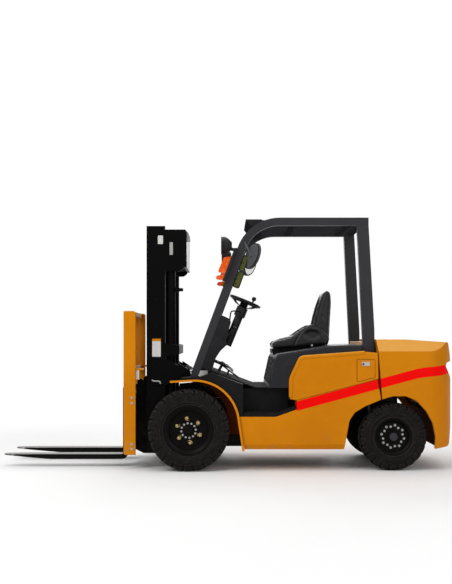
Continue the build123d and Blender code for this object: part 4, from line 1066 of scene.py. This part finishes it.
def make_chains():
    """The front run rides on the inner mast; the rear run climbs from its anchor and wraps over the sheave.
    """
    count = round((SHEAVE_Z - CHAIN_LOW) / CHAIN_PITCH)
    front_x = SHEAVE_X + CHAIN_ROUND
    span = SHEAVE_Z - CHAIN_LOW - CHAIN_PLATE
    low = CHAIN_LOW + CHAIN_PLATE / 2
    pins = [Vector((front_x, CHAIN_Y, low + span * k / count)) for k in range(count + 1)]
    front = leaf_chain("leaf_chain_front", pins, "chain_front")
    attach(front, "inner_mast")
    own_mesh(front)
    rear_x = SHEAVE_X - CHAIN_ROUND
    pins = [Vector((rear_x, CHAIN_Y, CHAIN_ANCHOR + 0.006 + 0.0239 * k)) for k in range(11)]
    for k in range(1, 9):
        angle = math.pi * (1 - k / 8)
        wrap = Vector((math.cos(angle), 0, math.sin(angle))) * CHAIN_ROUND
        pins.append(Vector((SHEAVE_X, CHAIN_Y, SHEAVE_Z)) + wrap)
    rear = leaf_chain("leaf_chain_rear", pins, "chain_rear")
    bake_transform(rear)


GUARD_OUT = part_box("guard_side_tubes")[1].y * 1000
ROOF_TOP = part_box("guard_side_tubes")[1].z * 1000
LEG_LEAN = 0.3716


def leg_front(z):
    """Where the front face of the guard's leg lies at a height, in mm from the front axle."""
    return -4 - LEG_LEAN * (z - 811)


def make_head_lamps():
    lens_mesh = bmesh.new()
    bezel = bmesh.new()
    z = ROOF_TOP - 251
    centre = at(leg_front(z) + 132, GUARD_OUT + 40, z)
    ahead = (1, 0, 0)
    dome = [(0.068, 0.0005), (0.060, 0.006), (0.040, 0.011), (0.018, 0.0135), (0, 0.014)]
    lathe(lens_mesh, dome, centre, ahead, 48)
    ring = [(0.0785, -0.016), (0.0800, 0.001), (0.0795, 0.015), (0.075, 0.017), (0.070, 0.015),
            (0.067, 0.0006)]
    lathe(bezel, ring, centre, ahead, 48)
    flip_side(lens_mesh)
    flip_side(bezel)
    new_piece("head_lamp_glass", lens_mesh, "clear_lens", "chassis", "mirror")
    new_piece("head_lamp_bezels", bezel, "knob", "chassis", "black_plastic")


def make_rear_lamps():
    """Black frames round the rear lamps, with an amber and a clear segment under the red one."""
    frames = bmesh.new()
    amber = bmesh.new()
    clear = bmesh.new()

    def block(bm, proud, y_from, y_to, z_from, z_to):
        low = Vector((TAIL_X - proud, y_from, z_from))
        bar(bm, low, Vector((TAIL_X + 0.004, y_to, z_to)), 0.0015)

    for y_from, y_to in ((0.214, 0.225), (0.335, 0.346)):
        block(frames, 0.007, y_from, y_to, 0.596, 0.744)
    for z_from, z_to in ((0.596, 0.607), (0.646, 0.650), (0.690, 0.694), (0.733, 0.744)):
        block(frames, 0.0065, 0.216, 0.344, z_from, z_to)
    block(amber, 0.003, 0.224, 0.336, 0.649, 0.691)
    block(clear, 0.003, 0.224, 0.336, 0.606, 0.647)
    for bm in (frames, amber, clear):
        flip_side(bm)
    new_piece("rear_lamp_frames", frames, "knob", "chassis", "black_plastic")
    new_piece("rear_lamp_amber", amber, "amber_lens", "chassis", "lamp_amber")
    new_piece("rear_lamp_clear", clear, "clear_lens", "chassis", "mirror")


MIRROR_TALL = 0.125
MIRROR_WIDE = 0.075
MIRROR_RIM = 0.0015


def make_mirrors():
    """A domed glass and a black rim on each side mirror."""
    z = ROOF_TOP - 340
    centre = at(leg_front(z) - 147, GUARD_OUT + 25, z)
    face = Vector((-0.8, -0.6, 0))
    tall = Vector((-0.39, 0.52, 0.76)).normalized()
    across = face.cross(tall).normalized()
    glass = bmesh.new()
    rings = []
    for part, out in ((0.90, 0.0283), (0.7, 0.0305), (0.4, 0.0322), (0.12, 0.0328)):
        line = oval(centre + face * out, tall * MIRROR_TALL * part, across * MIRROR_WIDE * part, 48)
        rings.append([glass.verts.new(point) for point in line])
    stitch_rings(glass, rings)
    glass.faces.new(rings[-1])
    rim = bmesh.new()
    for depth in (0.004, 0.0265):
        first = tall * (MIRROR_TALL - MIRROR_RIM)
        loop = oval(centre + face * depth, first, across * (MIRROR_WIDE - MIRROR_RIM), 48)
        sweep(rim, loop + loop[:1], 0.0048, 8)
    flip_side(glass)
    flip_side(rim)
    new_piece("mirror_glass", glass, "mirror", "chassis", "mirror")
    new_piece("mirror_rims", rim, "knob", "chassis", "black_plastic")


def face_plate(bm, xa_from, xa_to, z_from, z_to, y, thick=1.0):
    """A thin plate with clipped corners on a face that looks left."""
    clip = 5
    corners = [(xa_from, z_from, clip), (xa_to, z_from, clip), (xa_to, z_to, clip), (xa_from, z_to, clip)]
    side_plate(bm, corners, y, y + thick, 3)


MAST_SIDE = 380
DASH_SIDE = 290
PLATE_GAP = 0.2


def make_plates():
    """Bare white plates on the mast and the foot of the guard, and a grey one high on the mast."""
    mast_face = MAST_SIDE + PLATE_GAP
    dash_face = DASH_SIDE + PLATE_GAP
    upper = (236, 282, 1984, 2059, mast_face)
    lower = (256, 332, 984, 1144, mast_face)
    band = (256, 332, 1122, 1144, mast_face + 1, 0.5)
    for name, plates, finish, body, slot in (
            ("mast_plates", [upper, lower], "label", "mast", "mirror"),
            ("mast_grey_plate", [(148, 178, 1888, 2000, mast_face)], "grey", "mast", "chrome_rod"),
            ("mast_plate_band", [band], "amber", "mast", "body_yellow"),
            ("dash_plate", [(-163, -75, 812, 858, dash_face)], "label", "chassis", "mirror")):
        bm = bmesh.new()
        for plate in plates:
            face_plate(bm, *plate)
        new_piece(name, bm, finish, body, slot, smooth=False)


def make_fasteners():
    """Bolt heads on the backrest's posts and the dash."""
    bm = bmesh.new()
    for z in (627, 581, 221, 182):
        hex_head(bm, at(500, 500, z), (0, 1, 0), 0.0105, 0.010)
    flip_side(bm)
    new_piece("backrest_bolts", bm, "zinc", "carriage", "chrome_rod")
    bm = bmesh.new()
    hex_head(bm, at(-121, DASH_SIDE, 874), (0, 1, 0), 0.012, 0.009)
    flip_side(bm)
    new_piece("dash_bolts", bm, "under", "chassis", "black_paint")


def make_hood_corners():
    """Fills the corner between the hood's edge and the round corner of the side cover."""
    corners = [(-860, 772), (-860, 996), (-1010, 996), (-1010, 1003.6), (-958.8, 999.8, 65),
               (-865.2, 801.6, 125), (-865.2, 772)]
    bm = bmesh.new()
    side = BODY_SIDE * 1000 - 10.4
    side_plate(bm, corners, side - 20, side, 10)
    flip_side(bm)
    new_piece("hood_corners", bm, "hood", "hood", "black_plastic", smooth=False)


CREST_HALF = 18
CREST_PROUD = 5
CREST_SUNK = 3


def make_cover_crests():
    """A low rolled edge along the front and the top of each side cover."""
    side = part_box("side_covers")[1].y * 1000 - 0.4
    corners = [(-884, 640), (-884, 797, 106), (-971, 982, 46), (-1520, 1022)]
    path = resampled(filleted(corners, 8), 25)
    section = [(CREST_HALF * k / 5, CREST_PROUD * (1 - (k / 5) ** 2)) for k in range(-5, 6)]
    section += [(CREST_HALF, -CREST_SUNK), (-CREST_HALF, -CREST_SUNK)]
    lines = []
    for i, spot in enumerate(path):
        ahead = (path[min(i + 1, len(path) - 1)] - path[max(i - 1, 0)]).normalized()
        wide = Vector((-ahead.y, ahead.x))
        places = [(spot + wide * off, out) for off, out in section]
        lines.append([at(place.x, side + out, place.y) for place, out in places])
    bm = bmesh.new()
    tube(bm, lines)
    flip_side(bm)
    new_piece("cover_crests", bm, "amber", "chassis", "body_yellow")


def make_hood_ribs():
    """Upright ribs on the hood's front."""
    def front(z):
        return -693.5 - (z - 719) * 58 / 267

    outline = [(front(745), 745), (front(752) + 7, 752), (front(968) + 7, 968), (front(978), 978)]
    bm = bmesh.new()
    for k in range(-5, 6):
        middle = 104 * k
        side_plate(bm, outline, middle - 9, middle + 9)
    new_piece("hood_ribs", bm, "hood", "hood", "black_plastic", smooth=False)


def make_wheel_spokes():
    """Three broad spokes that dish from the steering wheel's rim down to its hub."""
    centre = at(-501, 0, 1488)
    up = Vector((-155, 0, 376)).normalized()
    left = Vector((0, 1, 0))
    ahead = left.cross(up)
    bm = bmesh.new()
    for turn in (90, 210, 330):
        angle = math.radians(turn)
        way = ahead * math.cos(angle) + left * math.sin(angle)
        side = up.cross(way)
        lines = []
        for out, drop, half in ((0.138, 0.006, 0.024), (0.112, 0.020, 0.036), (0.074, 0.042, 0.038),
                                (0.034, 0.053, 0.030)):
            lines.append(oval(centre + way * out - up * drop, side * half, up * 0.005, 16))
        tube(bm, lines)
    new_piece("wheel_spokes", bm, "knob", "steering_wheel", "black_plastic")


def make_latch():
    """The fuel door's latch plate, with its key barrel."""
    bm = bmesh.new()
    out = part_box("fuel_door")[1].y * 1000
    face_plate(bm, -1565, -1497, 909, 943, out + 0.2, 1.2)
    new_piece("door_latch_plate", bm, "zinc", "fuel_door", "chrome_rod", smooth=False)
    bm = bmesh.new()
    barrel = [(0.0085, 0.0), (0.0085, 0.0025), (0.007, 0.0035), (0, 0.0035)]
    lathe(bm, barrel, at(-1509, out + 1.4, 926), (0, 1, 0), 20)
    new_piece("door_key_barrel", bm, "knob", "fuel_door", "black_plastic")


def make_dials():
    """Two gauges with plain ticks and a needle each, on the console's sloping top."""
    low = at(-372, 0, 1306)
    high = at(-262, 0, 1358)
    up = (high - low).normalized()
    left = Vector((0, 1, 0))
    out = up.cross(left)
    if out.z < 0:
        out = -out
    middle = (low + high) / 2
    rims = bmesh.new()
    faces = bmesh.new()
    ticks = bmesh.new()
    for y in (-0.075, 0.075):
        centre = middle + left * y
        rim = [(0.050, 0), (0.050, 0.008), (0.046, 0.011), (0.042, 0.008), (0.042, 0.002)]
        lathe(rims, rim, centre, out, 40)
        lathe(faces, [(0.043, 0.0012), (0.043, 0.0032), (0, 0.0034)], centre, out, 40)
        for k in range(11):
            angle = math.radians(-120 + 24 * k)
            way = up * math.cos(angle) + left * math.sin(angle)
            tick = [centre + way * part + out * 0.0036 for part in (0.031, 0.039)]
            sweep(ticks, tick, 0.0012, 6)
        needle = up * 0.6 + left * 0.8
        sweep(ticks, [centre + out * 0.005, centre + needle * 0.030 + out * 0.005], 0.0014, 6)
    new_piece("gauge_rims", rims, "knob", "chassis", "black_plastic")
    new_piece("gauge_faces", faces, "under", "chassis", "black_plastic")
    new_piece("gauge_ticks", ticks, "label", "chassis", "mirror")


def make_wheel_liners():
    """Sheets that close the inner side of the front wheelhouses and the seam over the rear wheels."""
    corners = [(88, 750), (-16, 758), (-40, 770), (-366, 786, 360), (-452, 300), (-300, 300),
               (-330, 560, 120), (-150, 740, 120), (-60, 732), (88, 728)]
    bm = bmesh.new()
    side_plate(bm, corners, 411, 415, 16)
    flip_side(bm)
    new_piece("wheel_liners", bm, "liner", "chassis", "black_paint", smooth=False)
    bm = bmesh.new()
    bar(bm, at(-1795, 500, 600), at(-1625, 504, 770), 0.001)
    flip_side(bm)
    new_piece("seam_sheets", bm, "under", "chassis", "black_paint", smooth=False)


def make_panes():
    """Two olive panes in black frames behind the left leg, one over the other."""
    glass = bmesh.new()
    frames = bmesh.new()
    lean = Vector((-LEG_LEAN, 0, 1)).normalized()
    rear = Vector((-1, 0, -LEG_LEAN)).normalized()
    for z, length, wide in ((1805, 150, 52), (1662, 150, 64)):
        middle = at(leg_front(z) - 76 - wide / 2 - 4, GUARD_OUT - 28, z)
        half, side = length / 2000, wide / 2000
        corners = [(-half, -side, 0.018), (half, -side, 0.018), (half, side, 0.018), (-half, side, 0.018)]
        outline = filleted(corners, 6)

        def spot(u, v, w):
            return middle + lean * u + rear * v + Vector((0, w, 0))

        prism(frames, outline, spot, -0.012, 0.010)
        inner = [(u * 0.88, v * 0.70) for u, v in outline]
        prism(glass, inner, spot, 0.008, 0.0125)
        sweep(frames, [middle, middle - rear * (side + 0.03)], 0.007, 8)
    new_piece("pane_frames", frames, "knob", "chassis", "black_plastic")
    new_piece("pane_glass", glass, "olive", "chassis", "lamp_amber")


def make_mast_fittings():
    """Pipe clamp, tilt brackets, pale end cap, side clip and grease points on the outer mast."""
    bm = bmesh.new()
    bar(bm, at(60, 301, 1567), at(132, 335, 1596), 0.005)
    bar(bm, at(94, 292, 1560), at(130, 344, 1603), 0.004)
    for z in (600, 1250, 1500):
        for sign in (1, -1):
            hex_head(bm, at(300, sign * MAST_SIDE, z), (0, sign, 0), 0.011, 0.006)
    new_piece("mast_clamps", bm, "mast", "mast", "black_paint")
    bm = bmesh.new()
    bracket = [(100, 928), (3, 866, 12), (-10, 843, 10), (-6, 806), (100, 806)]
    side_plate(bm, bracket, MAST_SIDE - 16, MAST_SIDE - 0.4)
    flip_side(bm)
    new_piece("tilt_bracket_plates", bm, "mast", "mast", "black_paint", smooth=False)
    bm = bmesh.new()
    corners = [(28, 2011), (28, 2097), (18, 2097, 10), (-2, 2050, 14), (-5, 2011, 6)]
    side_plate(bm, corners, 300, 352)
    clip = ((256, 744), (262, 764), (285, 770), (312, 768), (326, 772), (331, 782))
    sweep(bm, [at(xa, 402, z) for xa, z in clip], 0.006, 10)
    new_piece("mast_pale_fittings", bm, "grey", "mast", "chrome_rod")


BRAKE_Y = 330


def make_levers():
    """The bent shift stalk by the column, and the hand brake with its rods."""
    bm = bmesh.new()
    stalk = ((-452, 60, 1392), (-398, 120, 1398), (-372, 150, 1392), (-364, 158, 1372), (-358, 160, 1322),
             (-352, 158, 1296))
    sweep(bm, [at(*spot) for spot in stalk], 0.0065, 10)
    knob = [(0, -0.02), (0.024, -0.016), (0.03, 0), (0.026, 0.014), (0.012, 0.022), (0, 0.022)]
    for line, radius, steps in ((((-256, 852), (-272, 884), (-288, 908)), 0.013, 10),
                                (((-304, 896), (-434, 798)), 0.007, 8),
                                (((-336, 818), (-346, 862)), 0.009, 8)):
        sweep(bm, [at(xa, BRAKE_Y, z) for xa, z in line], radius, steps)
    lathe(bm, knob, at(-292, BRAKE_Y, 917), (-0.6, 0, 1), 24)
    new_piece("hand_levers", bm, "knob", "chassis", "black_plastic")


def make_pedal_pads():
    """Ribbed rubber on the pedals' faces."""
    bm = bmesh.new()
    along = Vector((-62, 0, -55)).normalized()
    out = Vector((-55, 0, 62)).normalized()
    for y in (-190, 60, 170):
        start = at(-330, y, 905)
        for k in range(6):
            middle = start + along * (0.008 + 0.0132 * k) + out * 0.0005
            left = Vector((0, 0.031, 0))
            sweep(bm, [middle - left, middle + left], 0.0034, 8)
    new_piece("pedal_ribs", bm, "tyre", "chassis", "rubber_mat")


def make_backrest_fittings():
    """A short bar and a bracket behind each post of the load backrest, and a bare plate."""
    bm = bmesh.new()
    bar(bm, at(396, 440, 868), at(500, 479.5, 884), 0.003)
    flip_side(bm)
    new_piece("backrest_tabs", bm, "amber", "carriage", "frame_yellow")
    bm = bmesh.new()
    corners = [(398, 640), (398, 760, 20), (440, 790, 16), (470, 770, 12), (478, 640)]
    side_plate(bm, corners, 300, 316)
    for z in (662, 730):
        hex_head(bm, at(430, 316, z), (0, 1, 0), 0.012, 0.009)
    flip_side(bm)
    new_piece("carriage_brackets", bm, "mast", "carriage", "black_paint")
    bm = bmesh.new()
    face_plate(bm, 440, 466, 790, 866, 474, 1.2)
    bar(bm, at(438, 470, 786), at(468, 474, 870), 0.0015)
    new_piece("carriage_plate", bm, "label", "carriage", "mirror", smooth=False)


make_camera()
make_world()
make_floor()
for lamp in LAMPS:
    area_lamp(*lamp)
make_wheels()
make_wheel_liners()
make_panes()
make_mast_fittings()
make_levers()
make_pedal_pads()
make_backrest_fittings()
make_seat()
make_chains()
make_head_lamps()
make_rear_lamps()
make_mirrors()
make_plates()
make_fasteners()
make_latch()
make_hood_corners()
make_cover_crests()
make_hood_ribs()
make_wheel_spokes()
make_dials()
